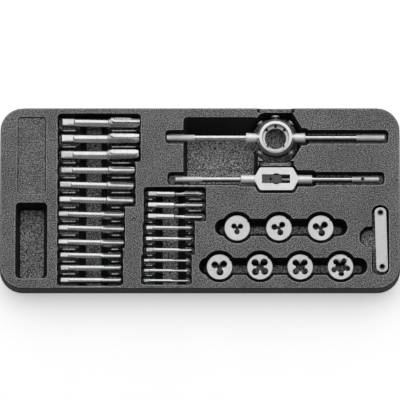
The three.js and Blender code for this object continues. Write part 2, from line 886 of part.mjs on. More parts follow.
function die(spec, x, y) {
  const radius = dieDiameter / 2;
  const minor = spec.thread * minorShare;
  const body = upright(radius, 0, dieThickness, dieSides);
  const cuts = [upright(minor, -overrun, dieThickness + overrun, lobeSides + 2)];
  for (let lobe = 0; lobe < spec.lobes; lobe += 1) {
    const angle = THREE.MathUtils.degToRad(spec.turn + (360 * lobe) / spec.lobes);
    const lobeX = spec.lobeReach * Math.cos(angle);
    const lobeY = spec.lobeReach * Math.sin(angle);
    cuts.push(upright(spec.lobeRadius, -overrun, dieThickness + overrun, lobeSides, lobeX, lobeY));
  }
  const notch = [[radius - notchDepth, 0], [radius + overrun, -notchWidth], [radius + overrun, notchWidth]];
  const turn = THREE.MathUtils.degToRad(spec.notch);
  const points = notch.map(([along, across]) => [
    along * Math.cos(turn) - across * Math.sin(turn),
    along * Math.sin(turn) + across * Math.cos(turn),
  ]);
  cuts.push(loft([{ z: -overrun, points }, { z: dieThickness + overrun, points }]));
  const mesh = piece(`die_${spec.size}`, cutBy(body, cuts), dieSteel);
  mesh.position.set(x, y, dieZ);
  return mesh;
}

const dies = dieRows.flatMap((row, rowPlace) =>
  row.dies.map((spec, place) => die(spec, dieX(row, place), dieRowY[rowPlace])),
);

// Die stock, built about the ring's centre at the height of its handles

const boreRadius = (dieDiameter + dieFit) / 2;
const ledgeTop = collarTop - dieThickness;

// A clamp screw points at the ring's axis along its own X, head outwards
function clampShape(angle) {
  const isBack = angle === clampAngles[0];
  const [diameter, length] = isBack ? [backHead, backHeadLength] : [clampHead, clampHeadLength];
  const tipStart = boreRadius - clampReachIn;
  const headStart = ringRadius + clampHeadOut;
  const parts = [
    lying(clampDiameter / 2, tipStart + clampTipLength, headStart + seatGap, screwSides),
    lying(clampTip / 2, tipStart, tipStart + clampTipLength + seatGap, screwSides),
    lying(diameter / 2, headStart, headStart + length, screwSides),
  ];
  const screw = joined(parts);
  if (isBack) {
    return screw;
  }
  const end = headStart + length;
  const slot = block(end - slotDepth, end + overrun, -diameter, diameter, -slotWidth / 2, slotWidth / 2);
  return screw.subtract(slot);
}

function around(shape, angle) {
  const geometry = geometryOf(shape).rotateZ(THREE.MathUtils.degToRad(angle)).translate(0, 0, -clampDrop);
  return solid(geometry);
}

function ringShape() {
  const body = turned(
    [
      [ledgeRadius, -ringBottom],
      [ringRadius, -ringBottom],
      [ringRadius, ringShoulder],
      [collarRadius, ringShoulder],
      [collarRadius, collarTop],
      [boreRadius, collarTop],
      [boreRadius, ledgeTop],
      [ledgeRadius, ledgeTop],
    ],
    ringSides,
  );
  const wall = (boreRadius + collarRadius) / 2;
  const bosses = [
    lying(bossDiameter / 2, -bossReach, -wall, rodSides),
    lying(bossDiameter / 2, wall, bossReach, rodSides),
  ];
  const spigotHole = spigotDiameter / 2 + seatGap;
  const holes = [
    lying(spigotHole, -bossReach - overrun, seatGap + spigotLength - bossReach, rodSides),
    lying(spigotHole, bossReach - spigotLength - seatGap, bossReach + overrun, rodSides),
  ];
  const threadHole = clampDiameter / 2 + seatGap;
  const threads = clampAngles.map((angle) =>
    around(lying(threadHole, ledgeRadius + seatGap, ringRadius + overrun, screwSides), angle),
  );
  return cutBy(joined([body, ...bosses]), [...holes, ...threads]);
}

// A round bar along X from pairs of place and diameter that step along it
function steppedBar(steps) {
  const profile = steps.map(([x, diameter]) => new THREE.Vector2(diameter / 2, x));
  const first = new THREE.Vector2(0, steps[0][0]);
  const last = new THREE.Vector2(0, steps[steps.length - 1][0]);
  const bar = new THREE.LatheGeometry([first, ...profile, last], rodSides);
  return solid(bar.rotateZ(-Math.PI / 2));
}

// A handle runs from inside its boss to the end of its grip
function handleShape(reach, arm, rod, grip, gripLength) {
  return steppedBar([
    [reach - spigotLength, spigotDiameter],
    [reach, spigotDiameter],
    [reach, rod],
    [arm - gripLength, rod],
    [arm - gripLength, grip],
    [arm - gripRound, grip],
    [arm, grip - gripRound],
  ]);
}

const stock = new THREE.Group();
stock.position.set(stockX, stockY, stockZ);
stock.add(piece("stock_ring", ringShape(), castBody));
for (const [name, turn] of [["stock_handle_left", Math.PI], ["stock_handle_right", 0]]) {
  const shape = handleShape(bossReach, stockArm, stockRod, stockGrip, stockGripLength);
  const handle = piece(name, shape, brightSteel);
  handle.rotation.z = turn;
  stock.add(handle);
}
for (const angle of clampAngles) {
  const screw = piece(`clamp_screw_${angle}`, clampShape(angle), jawSteel);
  screw.rotation.z = THREE.MathUtils.degToRad(angle);
  screw.position.z = -clampDrop;
  stock.add(screw);
}

// Tap wrench, built about the middle of its frame

const windowLeft = -frameLength / 2 + windowStart;
const windowRight = windowLeft + windowLength;
const leftBossEnd = -frameLength / 2 - leftBossLength;
const rightBossEnd = frameLength / 2 + rightBossLength;

function frameShape() {
  const outline = frameOutline(0, 0);
  const plate = loft([
    { z: -frameThickness / 2, points: outline },
    { z: frameThickness / 2, points: outline },
  ]);
  const bosses = [
    lying(wrenchBoss / 2, leftBossEnd, windowLeft - seatGap, rodSides),
    lying(wrenchBoss / 2, windowRight + seatGap, rightBossEnd, rodSides),
  ];
  const tall = frameThickness / 2 + overrun;
  const opening = block(windowLeft, windowRight, -windowWidth / 2, windowWidth / 2, -tall, tall);
  const waistX = windowLeft + waistStart;
  const spigotHole = spigotDiameter / 2 + seatGap;
  const cuts = [
    opening,
    upright(waistRound, -tall, tall, rodSides, waistX, windowWidth / 2),
    upright(waistRound, -tall, tall, rodSides, waistX, -windowWidth / 2),
    lying(spigotHole, leftBossEnd - overrun, leftBossEnd + spigotLength + seatGap, rodSides),
    lying(wrenchScrew / 2 + seatGap, windowRight - overrun, rightBossEnd + overrun, rodSides),
  ];
  return cutBy(joined([plate, ...bosses]), cuts);
}

function jawBlock(left, right) {
  const half = windowWidth / 2 - seatGap;
  return block(left, right, -half, half, -jawThickness / 2, jawThickness / 2);
}

function vNotch(x) {
  const tall = jawThickness;
  const points = [[x - jawNotch, 0], [x, -jawNotch], [x + jawNotch, 0], [x, jawNotch]];
  return loft([{ z: -tall, points }, { z: tall, points }]);
}

const fixedJawRight = windowLeft + seatGap + fixedJawLength;
const slidingJawLeft = fixedJawRight + seatGap;
const slidingJawRight = slidingJawLeft + slidingJawLength;

function fixedJawShape() {
  return cutBy(jawBlock(windowLeft + seatGap, fixedJawRight), [vNotch(fixedJawRight)]);
}

function slidingJawShape() {
  const socketStart = slidingJawRight - neckInJaw - seatGap;
  const socket = lying(screwNeck / 2 + seatGap, socketStart, slidingJawRight + overrun, rodSides);
  return cutBy(jawBlock(slidingJawLeft, slidingJawRight), [vNotch(slidingJawLeft), socket]);
}

// The screwed handle turns in the right boss and its neck turns in the sliding jaw
function screwHandleShape() {
  const end = frameLength / 2 + rightArm;
  const gripStart = end - wrenchGripLength;
  const tall = wrenchGrip;
  const threadEnd = rightBossEnd + jawTravel / 2;
  const bar = steppedBar([
    [slidingJawRight - neckInJaw, screwNeck],
    [windowRight + jawTravel, screwNeck],
    [windowRight + jawTravel, wrenchScrew],
    [threadEnd, wrenchScrew],
    [threadEnd, wrenchRod],
    [gripStart, wrenchRod],
    [gripStart, wrenchGrip],
    [end - gripRound, wrenchGrip],
    [end, wrenchGrip - gripRound],
  ]);
  return bar.subtract(upright(crossHole / 2, -tall, tall, lobeSides, end - crossHoleInset, 0));
}

const wrench = new THREE.Group();
wrench.position.set(wrenchX, wrenchY, wrenchZ);
const leftHandle = piece(
  "wrench_handle_fixed",
  handleShape(-leftBossEnd, frameLength / 2 + leftArm, wrenchRod, wrenchGrip, wrenchGripLength),
  brightSteel,
);
leftHandle.rotation.z = Math.PI;
wrench.add(
  piece("wrench_frame", frameShape(), castBody),
  piece("wrench_jaw_fixed", fixedJawShape(), jawSteel),
  piece("wrench_jaw_sliding", slidingJawShape(), jawSteel),
  piece("wrench_handle_screwed", screwHandleShape(), brightSteel),
  leftHandle,
);

// Screw pitch gauge, built flat about its middle with the lower flanges at the bottom

const coverBottom = flangeThickness + seatGap;
const leafPitch = leafThickness + seatGap;
const leavesBottom = coverBottom + coverThickness + seatGap;
const topCoverBottom = leavesBottom + leafCount * leafPitch;
const topFlangeBottom = topCoverBottom + coverThickness + seatGap;
const gaugeTop = topFlangeBottom + flangeThickness;

function rivetHole(bottom, top, y) {
  return upright(rivetDiameter / 2 + seatGap, bottom - overrun, top + overrun, rivetSides, 0, y);
}

function coverShape(bottom) {
  const top = bottom + coverThickness;
  const corners = rectangle(-gaugeWidth / 2, gaugeWidth / 2, -gaugeLength / 2, gaugeLength / 2);
  const radius = (gaugeWidth / 2) * grooveEndShare;
  const points = rounded(corners, radius, [0, 0, 0, 0], 3);
  const plate = loft([{ z: bottom, points }, { z: top, points }]);
  return cutBy(plate, [rivetHole(bottom, top, rivetSpacing / 2), rivetHole(bottom, top, -rivetSpacing / 2)]);
}

// A leaf hangs on one rivet, narrows to its toothed end and stops short of the other rivet
function leafShape(number) {
  const way = number % 2 ? -1 : 1;
  const bottom = leavesBottom + number * leafPitch;
  const top = bottom + leafThickness;
  const pivot = (way * rivetSpacing) / 2;
  const heel = pivot + (way * leafWidth) / 2;
  const tip = heel - way * leafLength;
  const wide = leafWidth / 2;
  const slim = leafTipWidth / 2;
  const outline = [[-wide, heel], [-slim, tip], [slim, tip], [wide, heel]];
  const points = way > 0 ? outline : outline.toReversed();
  return loft([{ z: bottom, points }, { z: top, points }]).subtract(rivetHole(bottom, top, pivot));
}

function rivetShape(y) {
  const profile = [
    [rivetBore / 2, 0],
    [rivetFlange / 2, 0],
    [rivetFlange / 2, flangeThickness],
    [rivetDiameter / 2, flangeThickness],
    [rivetDiameter / 2, topFlangeBottom],
    [rivetFlange / 2, topFlangeBottom],
    [rivetFlange / 2, gaugeTop],
    [rivetBore / 2, gaugeTop],
  ];
  return solid(geometryOf(turned(profile, rivetSides)).translate(0, y, 0));
}

const gauge = new THREE.Group();
gauge.position.set(
  (gaugeSlotLeft + gaugeSlotRight) / 2 + gaugeRight,
  gaugeSlotMiddle + gaugeBack,
  trayHeight - gaugeSlotDepth + seatGap,
);
gauge.rotation.z = THREE.MathUtils.degToRad(gaugeYaw);
gauge.add(
  piece("gauge_cover_lower", coverShape(coverBottom), brightSteel),
  piece("gauge_cover_upper", coverShape(topCoverBottom), brightSteel),
  piece("gauge_rivet_back", rivetShape(rivetSpacing / 2), brightSteel),
  piece("gauge_rivet_front", rivetShape(-rivetSpacing / 2), brightSteel),
);
for (let number = 0; number < leafCount; number += 1) {
  gauge.add(piece(`gauge_leaf_${number + 1}`, leafShape(number), jawSteel));
}

const drawer = new THREE.Group();
drawer.add(tray, ...[...lanesOne, ...lanesTwo].map(tap), ...dies, stock, wrench, gauge);

export default drawer;
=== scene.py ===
"""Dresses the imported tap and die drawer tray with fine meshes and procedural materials.

Lengths are metres, +Z is up and +Y is the back of the drawer, as in the frame.
"""

import json
import math

import bmesh
import bpy
import numpy as np
from bpy.props import FloatProperty, FloatVectorProperty, IntProperty, PointerProperty
from mathutils import Matrix, Vector


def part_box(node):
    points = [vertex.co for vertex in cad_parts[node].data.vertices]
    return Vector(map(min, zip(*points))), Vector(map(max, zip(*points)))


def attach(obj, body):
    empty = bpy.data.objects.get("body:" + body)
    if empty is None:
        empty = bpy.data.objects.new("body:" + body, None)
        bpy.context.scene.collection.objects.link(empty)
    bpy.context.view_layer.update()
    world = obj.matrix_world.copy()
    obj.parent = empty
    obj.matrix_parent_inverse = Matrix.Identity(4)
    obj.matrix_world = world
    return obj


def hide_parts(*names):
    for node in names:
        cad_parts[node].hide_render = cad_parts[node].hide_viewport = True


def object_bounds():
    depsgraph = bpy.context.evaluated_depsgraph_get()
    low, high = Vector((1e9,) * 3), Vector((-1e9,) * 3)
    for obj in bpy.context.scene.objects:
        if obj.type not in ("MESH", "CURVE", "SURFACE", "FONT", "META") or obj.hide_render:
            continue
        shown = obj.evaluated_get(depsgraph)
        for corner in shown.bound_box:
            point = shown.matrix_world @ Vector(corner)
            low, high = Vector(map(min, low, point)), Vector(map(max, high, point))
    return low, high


bl_info = {
    "name": "Tap and die drawer tray",
    "version": (1, 0, 0),
    "blender": (4, 5, 0),
    "location": "View3D > Sidebar > Drawer tray",
    "description": "Dresses a packed drawer tray of thread cutting tools",
    "category": "Object",
}

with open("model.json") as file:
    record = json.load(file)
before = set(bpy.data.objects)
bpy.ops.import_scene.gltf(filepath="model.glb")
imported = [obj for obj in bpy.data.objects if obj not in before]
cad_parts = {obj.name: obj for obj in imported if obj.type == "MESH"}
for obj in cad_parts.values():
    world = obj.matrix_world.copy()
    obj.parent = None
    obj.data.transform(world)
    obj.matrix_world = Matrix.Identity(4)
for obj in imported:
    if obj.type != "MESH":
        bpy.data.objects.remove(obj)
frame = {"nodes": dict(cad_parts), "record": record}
cad_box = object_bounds()

MM = 0.001
FULL_TURN = 2 * math.pi
# Places closer than this are the same
SAME = 0.02 * MM
# Corners further apart than this along a bar are on different rings of it
LEVEL_GAP = 0.15 * MM
# The fewest corners of a ring
RING_CORNERS = 10
# Edges between faces that turn more than this look sharp
SHARP_ANGLE = math.radians(32)
# Stops of a gentle ramp and of a patchier one
GENTLE = (0.3, 0.7)
PATCHY = (0.35, 0.65)
# Stretch of grinding marks that run round a bar and of ones that run along it
MARKS_ROUND = (1, 0.06, 0.06)
MARKS_ALONG = (0.06, 1, 1)

BODY_OF = {
    node: body
    for body, nodes in frame["record"]["behaviour"]["bodies"].items()
    for node in nodes
}

# Thread pitch and number of flutes by thread size
PITCHES = {12: 1.75, 10: 1.5, 8: 1.25, 6: 1.0, 5: 0.8, 4: 0.7, 3: 0.5}
FLUTES = {12: 3, 10: 4, 8: 4, 6: 3, 5: 3, 4: 3, 3: 3}
# Half the opening of a flute in degrees, by the number of flutes
FLUTE_HALVES = {4: 20, 3: 32}
# Further from the axis than any wall, as a share of the thread's radius
NO_WALL = 9.0
# Taps of this size and above lie turned further back
TURNED_BACK = 12
# How far before the thread a flute starts, how far into it the flute gets its full depth and
# how much shallower it starts, as shares of the thread's radius
FLUTE_LEAD = 0.4
FLUTE_RUN = 0.9
FLUTE_LIFT = 0.6
# Chamfer of a tap's squared end as a share of the square's half width
SQUARE_CHAMFER = 0.12
# How far a tap may have rolled in its lane, and its square against its flutes, in radians
ROLL_JITTER = 0.12
TILT_JITTER = 0.09

# Clearance holes of each die: how many, their radius and distance from the centre in
# millimetres, and the turns of the first hole and of the rim's notch in degrees
DIE_HOLES = {
    "m3": (3, 2.7, 3.6, 28, 32),
    "m4": (3, 3.0, 4.5, 46, 51),
    "m5": (3, 3.3, 4.9, 41, 39),
    "m6": (3, 3.5, 4.9, 35, 33),
    "m8": (4, 3.6, 6.2, 48, 46),
    "m10": (4, 3.2, 6.0, 46, 46),
    "m12": (5, 2.8, 6.7, 60, 54),
}
# Radius between a die's teeth as a share of its thread's width
DIE_MINOR = 0.42
# Steps along each cutting land of a die
LAND_STEPS = 4
# Depth of the funnel in a die's mouth, and how much wider than the teeth it opens
MOUTH_DEPTH = 1.4 * MM
MOUTH_EASE = 0.25 * MM

# Rings of a clamp screw's domed head, from its side to its top: width as a share of the head's
# and drop below the top as a share of its thickness
DOME = ((1, 0.56), (0.93, 0.245), (0.72, 0.0525), (0.35, 0))

# Depth of a screw's or die's thread as a share of its pitch, and rings in a turn of a screw's
THREAD_DEPTH = 0.5
SCREW_STEPS = 5
# Rings and sides in each diamond of a knurl, rings over which it fades out, fewest diamonds
DIAMOND_STEPS = 4
FADE_STEPS = 3
FEWEST_DIAMONDS = 8
# Plain margin at each end of a knurl, and chamfer of a handle's shoulders
KNURL_MARGIN = 0.5 * MM
SHOULDER_EASE = 0.2 * MM

# Share of a gauge leaf that has teeth, and their depth as a share of their pitch
TOOTHED = 0.62
TOOTH_DEPTH = 0.6

# Shades of the plastic as multiples of its colour, least and most: where it is drawn down,
# of the painted glints on the tops and on the pockets' floors, and of the painted highlights on edges
DRAWN_SHADES = (0.5, 0.9)
TOP_GLINT_SHADES = (21, 26)
FLOOR_GLINT_SHADES = (33, 40)
EDGE_HIGHLIGHT_SHADES = (12, 36)
# Heights between which the floors' shades, lighter as painted light, give way to the tops'
SHADE_HEIGHTS = (16 * MM, 22 * MM)
# Stops of the patterns that mark painted glints, level places, edges with painted highlights and the shade
# of those highlights
GLINT_STOPS = (0.43, 0.66)
LEVEL_STOPS = (0.72, 0.975)
HIGHLIGHT_EDGE_STOPS = (0.508, 0.538)
EDGE_HIGHLIGHT_STOPS = (0.35, 0.6)

# Half the width of the paper under the tray, and width of the camera's sensor in millimetres
PAPER_REACH = 6.0
SENSOR_WIDTH = 36
# How much stronger the light all around is from above, and weaker from below, as a share
SKY_SLOPE = 0.3


# Reading the frame


def nodes_named(start):
    """Names of the CAD nodes that begin with start, of which there has to be one."""
    found = sorted(node for node in frame["nodes"] if node.startswith(start))
    if not found:
        raise RuntimeError(f"no node of the frame begins with {start}")
    return found


def corners_of(mesh):
    flat = np.empty(len(mesh.vertices) * 3)
    mesh.vertices.foreach_get("co", flat)
    return flat.reshape(-1, 3)


def points_of(node):
    """Every corner of a CAD node once."""
    return np.unique(corners_of(frame["nodes"][node].data).round(7), axis=0)


def bar_of(node):
    """Start and direction of a CAD bar, its rings as (place, outer, inner) and its other corners' places."""
    points = points_of(node)
    centre = points.mean(0)
    direction = np.linalg.svd(points - centre, full_matrices=False)[2][0]
    direction *= np.sign(direction[0])
    along = (points - centre) @ direction
    start = centre + direction * along.min()
    along -= along.min()
    away = np.linalg.norm(points - start - np.outer(along, direction), axis=1)
    order = np.argsort(along)
    breaks = np.flatnonzero(np.diff(along[order]) > LEVEL_GAP) + 1
    groups = np.split(order, breaks)
    rings = [group for group in groups if len(group) >= RING_CORNERS]
    levels = [(along[ring].mean(), away[ring].max(), away[ring].min()) for ring in rings]
    others = [along[group].mean() for group in groups if len(group) < RING_CORNERS]
    return start, direction, levels, others


def middle_of(node):
    low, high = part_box(node)
    return (low + high) / 2


# Making meshes


def lofted(rings, closed=False):
    """Corners and faces of a skin through rings; its ends are capped, or joined if it is closed."""
    count, sides = len(rings), len(rings[0])
    faces = []
    for ring in range(count if closed else count - 1):
        here, there = ring * sides, ((ring + 1) % count) * sides
        for side in range(sides):
            beside = (side + 1) % sides
            faces.append((here + side, here + beside, there + beside, there + side))
    if not closed:
        faces.append(tuple(reversed(range(sides))))
        faces.append(tuple(range((count - 1) * sides, count * sides)))
    return np.concatenate(rings), faces


def circle(radius, height, sides):
    """A ring about Z; radius is one number or one for each side."""
    turn = np.arange(sides) * FULL_TURN / sides
    level = np.full(sides, height)
    return np.stack([radius * np.cos(turn), radius * np.sin(turn), level], axis=1)


def turned(profile, sides, closed=False):
    """A body of revolution about Z through pairs of radius and height."""
    return lofted([circle(radius, height, sides) for radius, height in profile], closed)


def cylinder(radius, bottom, top, sides=32):
    return turned([(radius, bottom), (radius, top)], sides)


def chamfered(radius, bottom, top, chamfer, sides):
    """A cylinder with a chamfer round both ends."""
    slim = radius - chamfer
    profile = [(slim, bottom), (radius, bottom + chamfer), (radius, top - chamfer), (slim, top)]
    return turned(profile, sides)


def eased_corner(radius, height, ease):
    """Three points of a profile that round an upper outer corner."""
    cut = 0.3 * ease
    return [(radius, height - ease), (radius - cut, height - cut), (radius - ease, height)]


def shifted(shape, offset):
    corners, faces = shape
    return corners + np.array(offset), faces


def prism(outline, bottom, top):
    """An upright solid on an outline of X and Y."""
    flat = np.array(outline, float)
    levels = [np.full(len(flat), height) for height in (bottom, top)]
    return lofted([np.column_stack([flat, level]) for level in levels])


def rectangle(left, right, front, back):
    return [(left, front), (right, front), (right, back), (left, back)]


def rounded(corners, radius, steps=6):
    """A convex anticlockwise outline with rounded corners."""
    count = len(corners)
    outline = []
    for index, corner in enumerate(corners):
        here = Vector(corner)
        before = (here - Vector(corners[index - 1])).normalized()
        after = (Vector(corners[(index + 1) % count]) - here).normalized()
        sweep = before.angle_signed(after, 0) * -1
        reach = radius * math.tan(abs(sweep) / 2)
        normal = Vector((-before.y, before.x))
        centre = here - before * reach + normal * radius
        first = math.atan2(-normal.y, -normal.x)
        for step in range(steps + 1):
            turn = first + abs(sweep) * step / steps
            outline.append((centre.x + radius * math.cos(turn), centre.y + radius * math.sin(turn)))
    return outline


def oriented(corners, start, direction, up=(0, 0, 1)):
    """Corners of a body built along Z, laid along direction from start with its X up."""
    forward = Vector(direction).normalized()
    upward = Vector(up)
    upward = (upward - forward * upward.dot(forward)).normalized()
    side = forward.cross(upward)
    axes = np.array([upward, side, forward])
    return corners @ axes + np.array(start)


def along_x(shape, start=0, way=1):
    """A shape built along Z, laid along X from start towards way."""
    corners, faces = shape
    return oriented(corners, (start, 0, 0), (way, 0, 0)), faces


def made(name, corners, faces, sharp=SHARP_ANGLE):
    """A new smooth-shaded object with its normals outwards."""
    mesh = bpy.data.meshes.new(name)
    mesh.from_pydata([tuple(corner) for corner in corners], [], faces)
    work = bmesh.new()
    work.from_mesh(mesh)
    bmesh.ops.recalc_face_normals(work, faces=work.faces)
    work.to_mesh(mesh)
    work.free()
    shade(mesh, sharp)
    thing = bpy.data.objects.new(name, mesh)
    bpy.context.scene.collection.objects.link(thing)
    return thing


def shade(mesh, sharp=SHARP_ANGLE):
    mesh.shade_smooth()
    mesh.set_sharp_from_angle(angle=sharp)


def moved(thing, offset):
    thing.data.transform(Matrix.Translation(offset))
    return thing


def settled(thing):
    """Applies every modifier of an object."""
    bpy.context.view_layer.update()
    graph = bpy.context.evaluated_depsgraph_get()
    mesh = bpy.data.meshes.new_from_object(thing.evaluated_get(graph))
    thing.modifiers.clear()
    old = thing.data
    thing.data = mesh
    bpy.data.meshes.remove(old)
    shade(mesh)
    return thing


def carved(thing, shapes, operation="DIFFERENCE"):
    """Cuts each shape out of an object, or joins it to the object with UNION."""
    cutters = []
    for corners, faces in shapes:
        cutter = made("cutter", corners, faces)
        cutters.append(cutter)
        change = thing.modifiers.new("cut", "BOOLEAN")
        change.object = cutter
        change.operation = operation
        change.solver = "EXACT"
    settled(thing)
    for cutter in cutters:
        bpy.data.meshes.remove(cutter.data)
    return thing


def bevelled(thing, width, segments=2, angle=35):
    """Rounds an object's sharp edges."""
    change = thing.modifiers.new("round", "BEVEL")
    change.width = width
    change.segments = segments
    change.limit_method = "ANGLE"
    change.angle_limit = math.radians(angle)
    return evened(settled(thing))


def dress(thing, node, *materials):
    """A fine mesh stands for its CAD node, on the node's body and in its finish."""
    for material in materials:
        thing.data.materials.append(material)
    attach(thing, BODY_OF[node])
    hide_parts(node)
    return thing


def fine(node):
    return f"fine_{node}"


def second_finish(thing, chosen, finish=1):
    """Gives an object's second material, or a later one, to the faces whose middle is chosen."""
    for face in thing.data.polygons:
        if chosen(face.center):
            face.material_index = finish


def evened(thing):
    """Large flat faces keep their flat look beside rounded edges."""
    change = thing.modifiers.new("even faces", "WEIGHTED_NORMAL")
    change.keep_sharp = True
    return thing


# Materials


class Finish:
    """A node material about one Principled shader, with its patterns in object space."""

    def __init__(self, name, metallic, **constants):
        self.material = bpy.data.materials.new(name)
        self.material.use_nodes = True
        self.tree = self.material.node_tree
        self.shader = self.tree.nodes["Principled BSDF"]
        self.shader.inputs["Metallic"].default_value = metallic
        for socket, value in constants.items():
            self.shader.inputs[socket.replace("_", " ")].default_value = value
        self.place = self.tree.nodes.new("ShaderNodeTexCoord").outputs["Object"]

    def node(self, kind, **settings):
        made_node = self.tree.nodes.new(kind)
        for key, value in settings.items():
            setattr(made_node, key, value)
        return made_node

    def link(self, source, target):
        self.tree.links.new(source, target)

    def stretched(self, stretch):
        mapping = self.node("ShaderNodeMapping")
        mapping.inputs["Scale"].default_value = stretch
        self.link(self.place, mapping.inputs["Vector"])
        return mapping.outputs["Vector"]

    def noise(self, size, detail=2.0, stretch=(1, 1, 1)):
        """Noise whose features measure about size."""
        texture = self.node("ShaderNodeTexNoise")
        texture.inputs["Scale"].default_value = 1 / size
        texture.inputs["Detail"].default_value = detail
        self.link(self.stretched(stretch), texture.inputs["Vector"])
        return texture.outputs["Fac"]

    def cells(self, size):
        """Rounded pebbles about size across."""
        texture = self.node("ShaderNodeTexVoronoi", feature="SMOOTH_F1")
        texture.inputs["Scale"].default_value = 1 / size
        texture.inputs["Smoothness"].default_value = 0.6
        self.link(self.place, texture.inputs["Vector"])
        return texture.outputs["Distance"]

    def upward(self):
        """How far the surface faces up, from 0 at a wall to 1 on the level."""
        split = self.node("ShaderNodeSeparateXYZ")
        normal = self.node("ShaderNodeTexCoord").outputs["Normal"]
        self.link(normal, split.inputs[0])
        return split.outputs["Z"]

    def height(self):
        """Height of the surface in the object, in metres."""
        split = self.node("ShaderNodeSeparateXYZ")
        self.link(self.place, split.inputs[0])
        return split.outputs["Z"]

    def edges(self):
        return self.node("ShaderNodeNewGeometry").outputs["Pointiness"]

    def ramp(self, source, low, high, first, last):
        """Colours or values between two stops of a pattern."""
        ramp = self.node("ShaderNodeValToRGB")
        ramp.color_ramp.elements[0].position = first
        ramp.color_ramp.elements[1].position = last
        for element, value in zip(ramp.color_ramp.elements, (low, high)):
            rgb = (value,) * 3 if isinstance(value, float) else tuple(value)[:3]
            element.color = (*rgb, 1)
        self.link(source, ramp.inputs["Fac"])
        return ramp.outputs["Color"]

    def shaded(self, pattern, colour, shades, stops=GENTLE):
        """A colour that a pattern varies between two multiples of itself."""
        least, most = shades
        return self.ramp(pattern, colour * least, colour * most, *stops)

    def share_of(self, source, first, last):
        """From 0 to 1 between two stops of a pattern."""
        return self.ramp(source, 0.0, 1.0, first, last)

    def mixed(self, first, second, factor):
        mix = self.node("ShaderNodeMix", data_type="RGBA")
        for key, value in (("Factor", factor), ("A", first), ("B", second)):
            sockets = [s for s in mix.inputs if s.name == key and s.enabled]
            if isinstance(value, (float, int)):
                bare = value if key == "Factor" else (value, value, value, 1)
                sockets[0].default_value = bare
            else:
                self.link(value, sockets[0])
        return [s for s in mix.outputs if s.enabled][0]

    def bump(self, height, depth):
        bump = self.node("ShaderNodeBump")
        bump.inputs["Strength"].default_value = 1
        bump.inputs["Distance"].default_value = depth
        self.link(height, bump.inputs["Height"])
        return bump.outputs["Normal"]

    def finish(self, colour, roughness, normal):
        self.link(colour, self.shader.inputs["Base Color"])
        self.link(roughness, self.shader.inputs["Roughness"])
        self.link(normal, self.shader.inputs["Normal"])
        return self.material


def pebbled_plastic(look):
    """Black sheet plastic, pebbled where it faces up with painted glints there, lighter on the pockets'
    floors as painted light, with painted highlights on its upward edges, and smooth and black where drawn
    down.
    """
    skin = Finish("pebbled_plastic", 0, Specular_IOR_Level=look.shine)
    dark = np.array(look.colour)
    pebbles = skin.ramp(skin.cells(look.grain_size), 1.0, 0.0, 0.0, 0.75)
    fine_grain = skin.noise(look.grain_size * 0.6, 2)
    grain = skin.mixed(pebbles, fine_grain, 0.35)
    patches = skin.noise(30 * MM, 3)
    drawn = skin.shaded(patches, dark, DRAWN_SHADES, PATCHY)
    top = skin.shaded(patches, dark, TOP_GLINT_SHADES, PATCHY)
    # Painted light: the pockets' floors get lighter painted glints than the tops
    floor = skin.shaded(patches, dark, FLOOR_GLINT_SHADES, PATCHY)
    level = skin.mixed(floor, top, skin.share_of(skin.height(), *SHADE_HEIGHTS))
    # Painted glints: light specks of colour on the upward faces stand in for the sheen of the pebbles
    painted_glints = skin.share_of(skin.noise(look.grain_size * 0.8, 1), *GLINT_STOPS)
    upward = skin.share_of(skin.upward(), *LEVEL_STOPS)
    without_edge_highlights = skin.mixed(drawn, skin.mixed(drawn, level, painted_glints), upward)
    # Painted highlights: lighter colour along the edges that face up stands in for their highlights
    edges = skin.share_of(skin.edges(), *HIGHLIGHT_EDGE_STOPS)
    edge_highlights = skin.shaded(skin.noise(1.6 * MM, 1), dark, EDGE_HIGHLIGHT_SHADES, EDGE_HIGHLIGHT_STOPS)
    shades = skin.mixed(without_edge_highlights, edge_highlights, skin.mixed(0.0, edges, upward))
    wide = skin.noise(look.grain_size * 2.5, 2)
    rough = skin.ramp(wide, look.roughness - 0.08, look.roughness + 0.1, *GENTLE)
    matt = skin.mixed(2 * look.roughness, rough, upward)
    return skin.finish(shades, matt, skin.bump(grain, look.grain_depth))


def ground_steel(name, colour, roughness, stretch, mark_depth):
    """Bright ground steel; stretch is that of its marks."""
    steel = Finish(name, 1)
    tone = np.array(colour)
    marks = steel.noise(0.25 * MM, 3, stretch)
    shades = steel.shaded(steel.noise(6 * MM, 4), tone, (0.88, 1.06))
    rough = steel.ramp(marks, roughness - 0.04, roughness + 0.05, *GENTLE)
    return steel.finish(shades, rough, steel.bump(marks, mark_depth))


def satin_metal(name, colour, roughness, metallic, grit, edge_gain, worn=(0.52, 0.62)):
    """Fine even satin with small pits, brighter along worn edges."""
    metal = Finish(name, metallic)
    tone = np.array(colour)
    shades = metal.shaded(metal.noise(5 * MM, 4), tone, (0.92, 1.05))
    edge = metal.share_of(metal.edges(), *worn)
    bright = metal.shaded(metal.noise(2 * MM), tone * edge_gain, (0.95, 1))
    pits = metal.noise(grit, 3)
    rough = metal.ramp(pits, roughness - 0.06, roughness + 0.08, *GENTLE)
    return metal.finish(metal.mixed(shades, bright, edge), rough, metal.bump(pits, grit / 8))


# Sizes and colours that a user would change


def a_length(name, description, default):
    shown = {"name": name, "description": description}
    return FloatProperty(**shown, default=default, min=0, precision=5, unit="LENGTH")


def a_share(name, description, default):
    shown = {"name": name, "description": description}
    return FloatProperty(**shown, default=default, min=0, max=1, subtype="FACTOR")


def an_angle(name, description, default):
    """An angle, whose default is given in degrees."""
    shown = {"name": name, "description": description}
    return FloatProperty(**shown, default=math.radians(default), subtype="ANGLE")


def a_colour(name, description, default):
    shown = {"name": name, "description": description, "subtype": "COLOR"}
    return FloatVectorProperty(**shown, default=default, min=0, max=1, size=3)


def a_count(name, description, default):
    return IntProperty(name=name, description=description, default=default, min=3)


